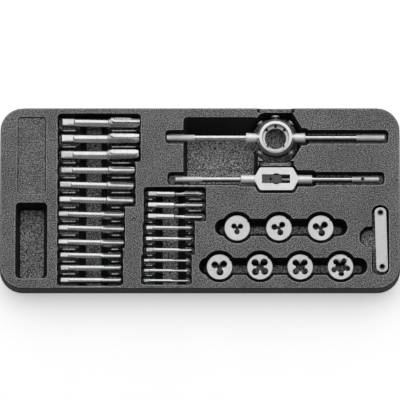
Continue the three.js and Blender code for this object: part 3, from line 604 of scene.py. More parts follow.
class DrawerTrayLook(bpy.types.PropertyGroup):
    """Sizes and finish of the moulded tray."""

    voxel: a_length("Mesh size", "Edge length of the tray's fine mesh", 0.6 * MM)
    smoothing: a_count("Smoothing", "Passes that round the tray's edges", 4)
    colour: a_colour("Plastic", "Colour of the tray", (0.018, 0.0182, 0.0185))
    shine: a_share("Shine", "Specular level of the plastic", 0.2)
    roughness: a_share("Roughness", "Roughness of the plastic", 0.38)
    grain_size: a_length("Grain", "Width of a pebble of the grain", 1.05 * MM)
    grain_depth: a_length("Grain depth", "Height of the grain", 0.3 * MM)


class DrawerTapLook(bpy.types.PropertyGroup):
    """Shape and finish of the taps."""

    sides: a_count("Sides", "Sides of a tap's round stretches", 48)
    steps: a_count("Steps", "Rings in each turn of a thread", 5)
    depth: a_share("Thread depth", "Depth of a thread as a share of its pitch", 0.55)
    core: a_share("Core", "Radius under a flute as a share of the thread's", 0.52)
    flute_turn: an_angle("Flute turn", "How far the upper flute leans back from upright", 16)
    further_turn: an_angle("Further turn", "How much further the largest taps are turned back", 12)
    colour: a_colour("Steel", "Colour of the taps", (0.58, 0.585, 0.59))
    flat_colour: a_colour("Flats", "Colour of the squares' flats", (0.62, 0.62, 0.615))
    roughness: a_share("Roughness", "Roughness of the ground steel", 0.26)
    flat_roughness: a_share("Flat roughness", "Roughness of the squares' flats", 0.42)


class DrawerDieLook(bpy.types.PropertyGroup):
    """Shape and finish of the round dies."""

    sides: a_count("Sides", "Sides of a die's rim", 96)
    steps: a_count("Steps", "Rings in each turn of a thread", 4)
    rim: a_length("Rim chamfer", "Chamfer of a die's rims", 0.5 * MM)
    notch: a_length("Notch", "Depth of the notch in a die's rim", 1.5 * MM)
    colour: a_colour("Steel", "Colour of the dies", (0.58, 0.58, 0.575))
    roughness: a_share("Roughness", "Roughness of the dies", 0.42)


class DrawerStockLook(bpy.types.PropertyGroup):
    """Shape and finish of the die stock."""

    ease: a_length("Ease", "Rounding of the ring's edges", 0.45 * MM)
    shoulder: a_length("Shoulder", "Height of the ring's shoulder over its axis", 2.2 * MM)
    ledge: a_length("Ledge", "Depth of the ledge under the ring's top", 9 * MM)
    bore: a_length("Bore", "Radius of the bore", 12.7 * MM)
    ledge_bore: a_length("Ledge bore", "Radius of the hole in the ledge", 10 * MM)
    collar: a_length("Collar", "Radius of the collar", 16 * MM)
    boss: a_length("Boss", "Radius of a boss at its end", 5 * MM)
    boss_root: a_length("Boss root", "Radius of a boss at the ring", 4.3 * MM)
    knurl: a_length("Knurl", "Width of a diamond of the knurl", 2 * MM)
    knurl_depth: a_length("Knurl depth", "Depth of the knurl", 0.42 * MM)
    screw_pitch: a_length("Screw pitch", "Pitch of the clamp screws", 0.7 * MM)
    screw_body: a_length("Screw body", "Radius of a clamp screw's thread", 2 * MM)
    screw_tip: a_length("Screw tip", "Length of a clamp screw's smooth tip", 1.6 * MM)
    slot: a_length("Slot", "Width of a clamp screw's slot", 0.9 * MM)
    slot_depth: a_length("Slot depth", "Depth of a clamp screw's slot", 0.9 * MM)
    screw_nose: a_length("Screw nose", "How far a screw's nose stands out of its tip", 1.3 * MM)
    colour: a_colour("Plate", "Colour of the plated bodies", (0.58, 0.58, 0.575))
    roughness: a_share("Roughness", "Roughness of the plated bodies", 0.33)
    screw_colour: a_colour("Screws", "Colour of the screws", (0.34, 0.34, 0.34))
    # Painted shade: near black for the clamp screws' tips and the rivets' bores, which lie in shade
    painted_shade_colour: a_colour("Deep steel", "Colour of screw tips and bores", (0.03, 0.03, 0.03))
    # Painted shade: dark colour for the ring's lower body, out from the collar and up to its shoulder
    lower_body_shade_colour: a_colour("Lower body shade", "Colour of the ring's lower body", (0.085, 0.085, 0.085))
    boss_colour: a_colour("Bosses", "Colour of the rough bosses", (0.82, 0.82, 0.81))
    grip_colour: a_colour("Grips", "Colour of the handles' grips", (0.66, 0.66, 0.65))


class DrawerWrenchLook(bpy.types.PropertyGroup):
    """Shape of the tap wrench."""

    corner: a_length("Corner", "Rounding of the frame's corners", 3 * MM)
    edge: a_length("Edge", "Rounding of the frame's edges", 0.5 * MM)
    boss: a_length("Boss", "Radius of a boss", 4.35 * MM)
    boss_edge: a_length("Boss edge", "Chamfer of a boss's ends", 0.5 * MM)
    boss_bore: a_length("Boss bore", "Radius of the bore for the screwed handle", 3.3 * MM)
    window: a_length("Window", "Width of the frame's window", 8.6 * MM)
    recess: a_length("Recess", "Radius of the round opening across the window", 5.4 * MM)
    cross_hole: a_length("Cross hole", "Radius of the hole across a grip", 1.7 * MM)
    notch: a_length("Notch", "Depth of a jaw's notch", 1.3 * MM)
    jaw_edge: a_length("Jaw edge", "Rounding of a jaw's edges", 0.25 * MM)
    knurl: a_length("Knurl", "Width of a diamond of the fine knurl", 0.9 * MM)
    knurl_depth: a_length("Knurl depth", "Depth of the fine knurl", 0.12 * MM)
    screw_pitch: a_length("Screw pitch", "Pitch of the screwed handle", 1 * MM)
    jaw_colour: a_colour("Jaws", "Colour of the jaws", (0.09, 0.09, 0.09))


class DrawerGaugeLook(bpy.types.PropertyGroup):
    """Shape and finish of the screw pitch gauge."""

    rivet: a_length("Rivet", "Radius of a rivet's flange", 3.2 * MM)
    rivet_bore: a_length("Rivet bore", "Radius of a rivet's bore", 1.75 * MM)
    rivet_mouth: a_length("Rivet mouth", "Radius of the bore's mouth", 2.55 * MM)
    rivet_shank: a_length("Rivet shank", "Radius of a rivet between its flanges", 2 * MM)
    cover_hole: a_length("Cover hole", "Radius of a cover's holes", 2.2 * MM)
    cover_edge: a_length("Cover edge", "Rounding of a cover's edges", 0.22 * MM)
    leaf_hole: a_length("Leaf hole", "Radius of a leaf's hole", 2.25 * MM)
    leaf_width: a_length("Leaf", "Width of a leaf at its rivet", 8 * MM)
    tip_width: a_length("Leaf tip", "Width of a leaf at its tip", 5 * MM)
    first_pitch: a_length("First pitch", "Tooth pitch of the first leaf", 0.5 * MM)
    pitch_step: a_length("Pitch step", "How much each leaf's pitch grows", 0.25 * MM)
    colour: a_colour("Covers", "Colour of the covers", (0.53, 0.53, 0.525))


class DrawerStageLook(bpy.types.PropertyGroup):
    """Camera, lamps and floor."""

    distance: a_length("Distance", "From the camera to the tray", 5)
    lean: an_angle("Lean", "How far the view leans from upright", 9.5)
    view_width: a_length("Width", "Width of the view at the tray's top", 0.3861)
    aim: a_length("Aim", "How far behind the tray's middle the camera looks", 0.3 * MM)
    lamp_width: a_length("Lamp width", "Width of the softbox", 4.4)
    lamp_depth: a_length("Lamp depth", "Other side of the softbox", 2.6)
    lamp_distance: a_length("Lamp distance", "From the softbox to the tray", 1.5)
    lamp_lean: an_angle("Lamp lean", "How far the softbox stands back from upright", 42)
    lamp_power: FloatProperty(
        name="Lamp power", description="Watts of the softbox", default=45, unit="POWER"
    )
    fill: a_share("Fill", "Strength of the light from all around", 0.12)
    sky_gloss: FloatProperty(
        name="Sky gloss",
        description="How much brighter the light all around is in reflections",
        default=0.8,
        min=0,
    )
    floor_colour: a_colour("Floor", "Colour of the floor", (0.9, 0.9, 0.9))
    floor_lift: a_share("Floor lift", "How much whiter the floor is seen", 0.45)


LOOKS = {
    "drawer_tray": DrawerTrayLook,
    "drawer_taps": DrawerTapLook,
    "drawer_dies": DrawerDieLook,
    "drawer_stock": DrawerStockLook,
    "drawer_wrench": DrawerWrenchLook,
    "drawer_gauge": DrawerGaugeLook,
    "drawer_stage": DrawerStageLook,
}


# Taps


def ridge(phase, flat=0.14):
    """Height of a thread from root to crest, with flat roots and crests."""
    wave = 1 - np.abs(2 * (phase % 1) - 1)
    return np.clip((wave - flat) / (1 - 2 * flat), 0, 1)


def smooth(value):
    value = np.clip(value, 0, 1)
    return value * value * (3 - 2 * value)


def flute_reach(turn, flutes, core):
    """Distance of a flute's wall from the axis, as a share of the thread's radius."""
    half = math.radians(FLUTE_HALVES[flutes])
    spread = 2 * (math.cos(half) - core)
    centre = (1 - core * core) / spread
    radius = centre - core
    pitch = FULL_TURN / flutes
    angle = (turn + pitch / 2) % pitch - pitch / 2
    inside = radius**2 - (centre * np.sin(angle)) ** 2
    wall = centre * np.cos(angle) - np.sqrt(np.maximum(inside, 0))
    return np.where(inside > 0, wall, NO_WALL)


def is_pointed(levels):
    """Whether a tap has a centre point before its square."""
    return levels[0][1] < levels[1][1] / 2


def tap_parts(levels):
    """A tap's levels by part: its centre point, square, shank, neck and thread."""
    point = levels[:1] if is_pointed(levels) else []
    levels = levels[len(point) :]
    rest = levels[4:]
    neck = rest[:2] if rest[0][1] - rest[0][2] < SAME else []
    return point, levels[:2], levels[2:4], neck, rest[len(neck) :]


def square_rings(square, tilt, pointed, look):
    """Rings of a tap's square, with a chamfer unless a centre point stands before it."""
    (start, corner, half), (end, _, _) = square
    turn = np.arange(look.sides) * FULL_TURN / look.sides + tilt
    facing = np.maximum(np.abs(np.cos(turn)), np.abs(np.sin(turn)))
    wide = np.minimum(corner, half / facing)
    chamfer = SQUARE_CHAMFER * half
    first = wide if pointed else wide - chamfer
    stations = [(start, first), (start + chamfer, wide), (end, wide)]
    return [circle(radius, place, look.sides) for place, radius in stations]


def tap_rings(levels, size, roll, tilt, look):
    """Rings of a tap from its squared end on; roll turns its flutes and tilt its square."""
    point, square, shank, neck, thread = tap_parts(levels)
    (start, crest, _), (end, _, _) = thread[0], thread[2]
    pitch = PITCHES[size] * MM
    turn = np.arange(look.sides) * FULL_TURN / look.sides
    stations = [(place, shank[0][1]) for place, _, _ in shank]
    stations += [(place, outer) for place, outer, _ in [*neck, *thread]]
    places, radii = zip(*stations)
    flutes = flute_reach(turn + roll, FLUTES[size], look.core) * crest
    flute_start = min(shank[1][0], start) - FLUTE_LEAD * crest
    flute_full = start + FLUTE_RUN * crest
    heights = [places[0], *np.arange(flute_start, end, pitch / look.steps), end]
    heights += [place for place, _, _ in thread[3:]]
    rings = [circle(outer, place, look.sides) for place, outer, _ in point]
    rings += square_rings(square, tilt, bool(point), look)
    for height in heights:
        radius = np.full(look.sides, np.interp(height, places, radii))
        fade = smooth((height - start + pitch) / pitch)
        if fade > 0:
            groove = 1 - ridge(height / pitch - turn / FULL_TURN)
            radius = np.minimum(radius, crest - look.depth * pitch * groove * fade)
        opening = 1 - smooth((height - flute_start) / (flute_full - flute_start))
        radius = np.minimum(radius, flutes + opening * crest * FLUTE_LIFT)
        rings.append(circle(radius, height, look.sides))
    return rings


class OBJECT_OT_drawer_taps(bpy.types.Operator):
    """Builds every tap with its square, thread and flutes"""

    bl_idname = "object.drawer_taps"
    bl_label = "Taps"

    def execute(self, context):
        look = context.scene.drawer_taps
        steel = ground_steel("tap_steel", look.colour, look.roughness, MARKS_ROUND, 0.0018 * MM)
        flats = ground_steel("tap_flats", look.flat_colour, look.flat_roughness, MARKS_ALONG, 0.006 * MM)
        jitter = np.random.default_rng(12)
        for node in nodes_named("tap_"):
            size = int(node.split("_")[1][1:])
            start, direction, levels, _ = bar_of(node)
            roll = look.flute_turn + jitter.uniform(-ROLL_JITTER, ROLL_JITTER)
            if size >= TURNED_BACK:
                roll += look.further_turn
            tilt = jitter.uniform(-TILT_JITTER, TILT_JITTER)
            rings = tap_rings(levels, size, roll, tilt, look)
            corners, faces = lofted(rings)
            thing = made(fine(node), oriented(corners, start, direction), faces)
            origin, way = Vector(start), Vector(direction)
            square_end = levels[2 if is_pointed(levels) else 1][0]
            second_finish(thing, lambda spot: (spot - origin).dot(way) < square_end)
            dress(thing, node, steel, flats)
        return {"FINISHED"}


# Dies


def clover(minor, lobe, distance, lobes, turn, arc=12):
    """Outline of a die's hole in X and Y, and which of its points are on a cutting land."""
    reach = (minor**2 - lobe**2 + distance**2) / (2 * distance)
    across = math.sqrt(minor**2 - reach**2)
    land_from = math.atan2(across, reach)
    lobe_to = math.atan2(across, reach - distance)
    pitch = FULL_TURN / lobes
    outline, lands = [], []
    for index in range(lobes):
        facing = turn + index * pitch
        for step in range(arc + 1):
            angle = facing - lobe_to + 2 * lobe_to * step / arc
            across = distance * math.cos(facing) + lobe * math.cos(angle)
            back = distance * math.sin(facing) + lobe * math.sin(angle)
            outline.append((across, back))
            lands.append(False)
        for step in range(1, LAND_STEPS):
            angle = facing + land_from + (pitch - 2 * land_from) * step / LAND_STEPS
            outline.append((minor * math.cos(angle), minor * math.sin(angle)))
            lands.append(True)
    return np.array(outline), np.array(lands)


def die_shape(node, look):
    """A round die with chamfered rims, its toothed hole, its mouth and its notch."""
    low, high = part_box(node)
    radius, thickness = (high.x - low.x) / 2, high.z - low.z
    name = node.split("_")[1]
    size = int(name[1:])
    lobes, lobe, reach, turn, notch_turn = DIE_HOLES[name]
    thing = made(fine(node), *chamfered(radius, 0, thickness, look.rim, look.sides))
    minor = DIE_MINOR * size * MM
    pitch = PITCHES[size] * MM
    outline, lands = clover(minor, lobe * MM, reach * MM, lobes, math.radians(turn))
    angle = np.arctan2(outline[:, 1], outline[:, 0])
    levels = np.arange(-pitch, thickness + pitch, pitch / look.steps)
    rings = []
    for height in levels:
        tooth = 1 - ridge(height / pitch - angle / FULL_TURN)
        grow = 1 + np.where(lands, THREAD_DEPTH * pitch * tooth / minor, 0)
        level = np.full(len(outline), height)
        rings.append(np.column_stack([outline * grow[:, None], level]))
    wide = minor + THREAD_DEPTH * pitch + MOUTH_EASE
    funnel = [(0.3 * minor, thickness - MOUTH_DEPTH), (wide, thickness + SAME), (wide, thickness + MM)]
    aside = math.radians(notch_turn)
    across = look.notch * 1.25
    beyond = radius + look.notch / 2
    wedge = np.array([(radius - look.notch, 0), (beyond, -across), (beyond, across)])
    spin = np.array([[math.cos(aside), math.sin(aside)], [-math.sin(aside), math.cos(aside)]])
    wedge = prism(wedge @ spin, -MM, thickness + MM)
    carved(thing, [lofted(rings), turned(funnel, sides=24), wedge])
    middle = (low + high) / 2
    return moved(thing, (middle.x, middle.y, low.z))


class OBJECT_OT_drawer_dies(bpy.types.Operator):
    """Builds every die with its clearance holes, cutting teeth and notch"""

    bl_idname = "object.drawer_dies"
    bl_label = "Dies"

    def execute(self, context):
        look = context.scene.drawer_dies
        steel = satin_metal(
            "die_steel", look.colour, look.roughness, metallic=0.9, grit=0.35 * MM, edge_gain=1.15
        )
        for node in nodes_named("die_"):
            dress(die_shape(node, look), node, steel)
        return {"FINISHED"}


# Handles


def handle_profile(levels):
    """Pairs of place and radius of a stepped bar, two at each shoulder."""
    profile = []
    for (here, outer, inner), (there, next_outer, next_inner) in zip(levels, levels[1:]):
        pairs = [(a, b) for a in (outer, inner) for b in (next_outer, next_inner)]
        first, last = min(pairs, key=lambda pair: abs(pair[0] - pair[1]))
        profile += [(here, first), (there, last)]
    return profile


def eased(profile, chamfer):
    """The profile with a small chamfer on the larger side of each shoulder."""
    stations = []
    for index, (place, radius) in enumerate(profile):
        before = profile[index - 1] if index else (place, 0)
        after = profile[index + 1] if index + 1 < len(profile) else (place, 0)
        if abs(before[0] - place) < SAME and before[1] < radius - SAME:
            stations += [(place, radius - chamfer), (place + chamfer, radius)]
        elif abs(after[0] - place) < SAME and after[1] < radius - SAME:
            stations += [(place - chamfer, radius), (place, radius - chamfer)]
        else:
            stations.append((place, radius))
    return stations


def knurled(grip_start, grip_end, radius, width, depth):
    """Rings of a diamond knurl, and their number of sides."""
    around = max(FEWEST_DIAMONDS, round(FULL_TURN * radius / width))
    sides = DIAMOND_STEPS * around
    turn = np.arange(sides) / DIAMOND_STEPS
    rings = []
    steps = int((grip_end - grip_start) / (width / DIAMOND_STEPS))
    for step in range(steps + 1):
        rise = step / DIAMOND_STEPS
        hill = [1 - np.abs(2 * ((turn + way * rise) % 1) - 1) for way in (1, -1)]
        edge = min(1.0, step / FADE_STEPS, (steps - step) / FADE_STEPS)
        height = depth * (1 - np.minimum(*hill)) * edge
        place = grip_start + step * width / DIAMOND_STEPS
        rings.append(circle(radius - height, place, sides))
    return rings, sides


def spiral(radius, start, end, pitch, sides):
    """Rings of a thread on a bar."""
    turn = np.arange(sides) / sides
    rings = []
    for place in np.arange(start, end, pitch / SCREW_STEPS):
        groove = 1 - ridge(place / pitch - turn)
        rings.append(circle(radius - THREAD_DEPTH * pitch * groove, place, sides))
    return rings


def handle_shape(node, knurl, depth, hole=0, pitch=0):
    """A handle; its grip is smooth if depth is zero.

    It is bored across where the CAD is, if it has a hole, and its thin end is threaded if it
    has a pitch.
    """
    start, direction, levels, others = bar_of(node)
    length = levels[-1][0]
    if levels[0][1] > levels[-1][1]:
        start = start + direction * length
        direction = -direction
        levels = [(length - place, outer, inner) for place, outer, inner in levels[::-1]]
    profile = eased(handle_profile(levels), SHOULDER_EASE)
    radius = levels[-2][1]
    grip = [place for place, outer in profile if abs(outer - radius) < SAME]
    first, last = grip[0], grip[-1]
    rings, sides = knurled(first + KNURL_MARGIN, last - KNURL_MARGIN, radius, knurl, depth)
    before = [station for station in profile if station[0] <= first + SAME]
    after = [station for station in profile if station[0] >= last - SAME]
    plain = [circle(outer, place, sides) for place, outer in before]
    if pitch:
        end = levels[1][0] - pitch
        plain[2:2] = spiral(levels[0][1], levels[0][0] + pitch, end, pitch, sides)
    butt = [circle(outer, place, sides) for place, outer in after]
    corners, faces = lofted([*plain, *rings, *butt])
    thing = made(fine(node), oriented(corners, start, direction), faces)
    origin, way = Vector(start), Vector(direction)
    second_finish(thing, lambda spot: (spot - origin).dot(way) > first)
    if depth:
        for face in thing.data.polygons:
            face.use_smooth = not first < (face.center - origin).dot(way) < last
    if hole and others:
        centre = start + direction * (min(others) + max(others)) / 2
        carved(thing, [shifted(cylinder(hole, -2 * radius, 2 * radius), centre)])
    return thing


# Die stock


def ring_shape(look):
    """The cast ring with its collar, ledge and tapered bosses; its lower body is painted dark as shade."""
    low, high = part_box("stock_ring")
    middle = (low + high) / 2
    axis = middle_of("stock_handle_left").z
    outer = (high.y - low.y) / 2
    reach = (high.x - low.x) / 2
    bottom, top = low.z - axis, high.z - axis
    ledge = top - look.ledge
    ease = look.ease
    profile = [
        (look.ledge_bore, bottom),
        (outer - ease, bottom),
        (outer, bottom + ease),
        *eased_corner(outer, look.shoulder, 2 * ease),
        (look.collar + ease, look.shoulder),
        (look.collar, look.shoulder + ease),
        *eased_corner(look.collar, top, ease),
        (look.bore + ease, top),
        (look.bore, top - ease),
        (look.bore, ledge),
        (look.ledge_bore + ease, ledge),
        (look.ledge_bore, ledge - ease),
    ]
    thing = made(fine("stock_ring"), *turned(profile, sides=128, closed=True))
    wall = (look.bore + look.collar) / 2
    boss = [(look.boss_root, 0), (look.boss_root, outer - wall)]
    boss += eased_corner(look.boss, reach - wall, ease)
    bosses = [along_x(turned(boss, sides=48), way * wall, way) for way in (-1, 1)]
    carved(thing, bosses, "UNION")
    slack = 0.2 * MM

    # Painted shade: the lower body out from the collar and up to the shoulder takes the dark colour
    def is_shaded_lower_body(spot):
        away = math.hypot(spot.x, spot.y)
        on_boss = math.hypot(spot.y, spot.z) <= look.boss_root + slack
        low_down = spot.z < look.shoulder + slack / 2
        return look.collar + slack < away < outer + slack and low_down and not on_boss

    second_finish(thing, is_shaded_lower_body)
    second_finish(thing, lambda spot: abs(spot.x) > outer + slack, 2)
    return moved(thing, (middle.x, middle.y, axis))


def clamp_shape(node, look):
    """A slotted clamp screw with its thread and its smooth tip; the tip and the thread beside it are painted
    near black as shade.
    """
    ring = middle_of("stock_ring")
    heading = math.radians(int(node.split("_")[-1]))
    outward = np.array([math.cos(heading), math.sin(heading), 0])
    centre = np.array([ring.x, ring.y, middle_of(node).z])
    points = points_of(node)
    along = (points - centre) @ outward
    away = np.linalg.norm(points - centre - np.outer(along, outward), axis=1)
    head = away.max()
    start, end = along.min(), along.max()
    head_start = along[away > 0.9 * head].min()
    body = look.screw_body
    tip = away[along < start + SAME].max()
    tip_end = start + look.screw_tip
    sides = 32
    gap, ease, bevel = 0.1 * MM, 0.2 * MM, 0.3 * MM
    nose = start - look.screw_nose
    rings = [circle(tip - bevel, nose, sides), circle(tip, nose + bevel, sides)]
    rings.append(circle(tip, tip_end, sides))
    rings += spiral(body, tip_end + gap, head_start - gap, look.screw_pitch, sides)
    rings.append(circle(body, head_start, sides))
    rings.append(circle(head - ease, head_start, sides))
    rings.append(circle(head, head_start + ease, sides))
    for width, drop in DOME:
        rings.append(circle(head * width, end - drop * (end - head_start), sides))
    thing = made(fine(node), *lofted(rings))
    half = look.slot / 2
    slot = prism(rectangle(-half, half, -head, head), end - look.slot_depth, end + MM)
    carved(thing, [slot])
    # Painted shade: the tip and the thread near it, which lie in the ring's bore, get the near black steel
    painted_shade_end = tip_end + body
    second_finish(thing, lambda spot: spot.z < painted_shade_end)
    corners = oriented(corners_of(thing.data), centre, outward)
    thing.data.vertices.foreach_set("co", corners.ravel())
    return thing


class OBJECT_OT_drawer_stock(bpy.types.Operator):
    """Builds the die stock with its handles and clamp screws"""

    bl_idname = "object.drawer_stock"
    bl_label = "Die stock"

    def execute(self, context):
        look = context.scene.drawer_stock
        taps = context.scene.drawer_taps
        plate = satin_metal(
            "satin_plate", look.colour, look.roughness, metallic=0.95, grit=0.5 * MM, edge_gain=1.1
        )
        rod = ground_steel("rod_steel", taps.colour, 0.7 * taps.roughness, MARKS_ROUND, 0.003 * MM)
        dark = satin_metal(
            "dark_steel", look.screw_colour, 0.5, metallic=0.7, grit=0.4 * MM, edge_gain=1.6
        )
        # Painted shade: near black steel for the parts that lie in shade
        deep = satin_metal(
            "painted_shade_steel", look.painted_shade_colour, 0.6, metallic=0.3, grit=0.4 * MM, edge_gain=1.2
        )
        # Painted shade: dark metal for the ring's lower body
        cast = satin_metal(
            "shaded_lower_body", look.lower_body_shade_colour, 0.55, metallic=0.7, grit=0.7 * MM, edge_gain=1.3
        )
        grip = satin_metal(
            "grip_steel",
            look.grip_colour,
            0.45,
            metallic=0.6,
            grit=0.3 * MM,
            edge_gain=1.35,
            worn=(0.5, 0.55),
        )
        boss = satin_metal(
            "rough_plate", look.boss_colour, 0.5, metallic=0.5, grit=0.6 * MM, edge_gain=1.1
        )
        dress(ring_shape(look), "stock_ring", plate, cast, boss)
        for node in nodes_named("stock_handle_"):
            dress(handle_shape(node, look.knurl, look.knurl_depth), node, rod, grip)
        for node in nodes_named("clamp_screw_"):
            dress(clamp_shape(node, look), node, dark, deep)
        return {"FINISHED"}


# Tap wrench


def wrench_frame_shape(look):
    """The six-sided frame with its window, its round opening and its bosses."""
    low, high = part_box("wrench_frame")
    middle = (low + high) / 2
    points = points_of("wrench_frame")
    top = points[points[:, 2] > high.z - SAME]
    wide = top[:, 1].max()
    flats = top[top[:, 1] > wide - SAME][:, 0]
    centre = Vector(((flats.min() + flats.max()) / 2, middle.y, middle.z))
    half, flat = wide - centre.y, flats.max() - centre.x
    point_left, point = top[:, 0].min() - centre.x, top[:, 0].max() - centre.x
    corners = [(-point, 0), (-flat, -half), (flat, -half), (point, 0), (flat, half), (-flat, half)]
    thick = (high.z - low.z) / 2
    thing = made(fine("wrench_frame"), *prism(rounded(corners, look.corner), -thick, thick))
    end_left, end_right = low.x - centre.x, high.x - centre.x
    jaw_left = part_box("wrench_jaw_fixed")[0].x - centre.x
    jaw_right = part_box("wrench_jaw_sliding")[1].x
    sunk, clearance = 3 * MM, 0.3 * MM
    spans = [(end_left, jaw_left - MM), (point - sunk, end_right)]
    bosses = [along_x(chamfered(look.boss, *span, look.boss_edge, sides=48)) for span in spans]
    carved(thing, bosses, "UNION")
    window = look.window / 2
    beside = top[(np.abs(top[:, 1] - middle.y) < window + SAME) & (top[:, 0] > jaw_right)]
    left, right = jaw_left - clearance, beside[:, 0].min() - centre.x
    opening = prism(rectangle(left, right, -window, window), -2 * thick, 2 * thick)
    recess = cylinder(look.recess, -2 * thick, 2 * thick, sides=64)
    bore = along_x(cylinder(look.boss_bore, right - MM, end_right + MM))
    carved(thing, [opening, recess, bore])
    second_finish(thing, lambda spot: not point_left < spot.x < point)
    bevelled(thing, look.edge, segments=3, angle=40)
    return moved(thing, centre)


def jaw_shape(node, notch_way, look):
    """A jaw block with a notch in the end that grips."""
    low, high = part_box(node)
    middle = (low + high) / 2
    half = (high - low) / 2
    block = prism(rectangle(-half.x, half.x, -half.y, half.y), -half.z, half.z)
    thing = made(fine(node), *block)
    grip = notch_way * half.x
    deep = look.notch
    diamond = [(grip - deep, 0), (grip, -deep), (grip + deep, 0), (grip, deep)]
    carved(thing, [prism(diamond, -2 * half.z, 2 * half.z)])
    bevelled(thing, look.jaw_edge)
    return moved(thing, middle)


class OBJECT_OT_drawer_wrench(bpy.types.Operator):
    """Builds the tap wrench with its jaws and handles"""

    bl_idname = "object.drawer_wrench"
    bl_label = "Tap wrench"

    def execute(self, context):
        look = context.scene.drawer_wrench
        plate, rod, grip, rough = (
            bpy.data.materials[name]
            for name in ("satin_plate", "rod_steel", "grip_steel", "rough_plate")
        )
        dress(wrench_frame_shape(look), "wrench_frame", plate, rough)
        jaw = satin_metal(
            "jaw_steel", look.jaw_colour, 0.5, metallic=0.7, grit=0.4 * MM, edge_gain=1, worn=(0.9, 0.95)
        )
        dress(jaw_shape("wrench_jaw_fixed", 1, look), "wrench_jaw_fixed", jaw)
        dress(jaw_shape("wrench_jaw_sliding", -1, look), "wrench_jaw_sliding", jaw)
        hole = look.cross_hole
        left = handle_shape("wrench_handle_fixed", look.knurl, look.knurl_depth, hole)
        dress(left, "wrench_handle_fixed", rod, grip)
        right = handle_shape("wrench_handle_screwed", look.knurl, 0, hole, look.screw_pitch)
        dress(right, "wrench_handle_screwed", rod, grip)
        return {"FINISHED"}


# Screw pitch gauge


def gauge_axes():
    """Middle of the gauge, the way it points and the way across it, level."""
    front, back = middle_of("gauge_rivet_front"), middle_of("gauge_rivet_back")
    ahead = (back - front).normalized()
    across = Vector((ahead.y, -ahead.x, 0))
    return (front + back) / 2, ahead, across, (back - front).length


def laid(shape):
    """A shape built upright with its middle at the origin, laid askew as the gauge lies."""
    corners, faces = shape
    middle, ahead, across, _ = gauge_axes()
    axes = np.array([across, ahead, (0, 0, 1)])
    return corners @ axes + np.array((middle.x, middle.y, 0)), faces


def rivet_hole(node, radius, way, sides):
    """A hole through a sheet of the gauge for its rivet, at the front if way is -1."""
    low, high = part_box(node)
    spacing = gauge_axes()[3]
    hole = cylinder(radius, low.z - MM, high.z + MM, sides)
    return laid(shifted(hole, (0, way * spacing / 2, 0)))


def cover_shape(node, look):
    """A cover with round ends and a hole at each rivet."""
    middle, ahead, across, _ = gauge_axes()
    low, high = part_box(node)
    points = points_of(node) - np.array(middle)
    half = np.abs(points @ np.array(across)).max()
    reach = np.abs(points @ np.array(ahead)).max()
    outline = rounded(rectangle(-half, half, -reach, reach), half * 0.9, steps=10)
    thing = made(fine(node), *laid(prism(outline, low.z, high.z)))
    carved(thing, [rivet_hole(node, look.cover_hole, way, sides=32) for way in (-1, 1)])
    return bevelled(thing, look.cover_edge)


def rivet_shape(node, look):
    """A hollow rivet with rolled flanges, its bore and mouth painted near black as shade."""
    low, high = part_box(node)
    middle = (low + high) / 2
    lip, ease = 0.4 * MM, 0.1 * MM
    profile = [
        (look.rivet_bore, 3 * lip),
        (look.rivet_bore, lip),
        (look.rivet_mouth, ease),
        (look.rivet_mouth + ease, 0),
        (look.rivet - 3 * ease, 0),
        (look.rivet, lip * 0.6),
        (look.rivet_shank, lip),
    ]
    height = high.z - low.z
    upper = [(radius, height - place) for radius, place in reversed(profile)]
    corners, faces = turned([*profile, *upper], sides=48, closed=True)
    thing = made(fine(node), corners + np.array((middle.x, middle.y, low.z)), faces)
    # Painted shade: the bore and its mouth get the near black steel
    second_finish(thing, lambda spot: (spot - middle).xy.length < look.rivet_mouth)
    return thing


def leaf_shape(node, look):
    """A thin leaf that narrows to a tip, with teeth of its own pitch along one edge."""
    middle, ahead, _, _ = gauge_axes()
    number = int(node.split("_")[-1])
    low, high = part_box(node)
    points = (points_of(node) - np.array(middle)) @ np.array(ahead)
    heel, tip = points.max(), points.min()
    way = 1
    if abs(tip) > abs(heel):
        heel, tip, way = tip, heel, -1
    pitch = look.first_pitch + (number - 1) * look.pitch_step
    wide, slim = look.leaf_width / 2, look.tip_width / 2
    teeth = []
    for index in range(int(TOOTHED * abs(heel - tip) / pitch)):
        for part, depth in ((0.25, 0), (0.75, TOOTH_DEPTH * pitch)):
            place = tip + way * (index + part) * pitch
            gain = (place - tip) / (heel - tip)
            edge = slim + (wide - slim) * gain
            teeth.append((edge - depth, place))
    outline = [(-slim, tip), (slim, tip), *teeth, (wide, heel), (-wide, heel)]
    if way < 0:
        outline.reverse()
    thing = made(fine(node), *laid(prism(outline, low.z, high.z)))
    return carved(thing, [rivet_hole(node, look.leaf_hole, way, sides=24)])


class OBJECT_OT_drawer_gauge(bpy.types.Operator):
    """Builds the screw pitch gauge with its covers, rivets and leaves"""

    bl_idname = "object.drawer_gauge"
    bl_label = "Screw pitch gauge"

    def execute(self, context):
        look = context.scene.drawer_gauge
        plate = bpy.data.materials["satin_plate"]
        sheet = satin_metal(
            "sheet_steel", look.colour, 0.4, metallic=0.9, grit=0.5 * MM, edge_gain=1.1
        )
        dark = bpy.data.materials["dark_steel"]
        deep = bpy.data.materials["painted_shade_steel"]
        for node in nodes_named("gauge_cover_"):
            dress(cover_shape(node, look), node, sheet)
        for node in nodes_named("gauge_leaf_"):
            dress(leaf_shape(node, look), node, dark)
        for node in nodes_named("gauge_rivet_"):
            dress(rivet_shape(node, look), node, plate, deep)
        return {"FINISHED"}


# Tray


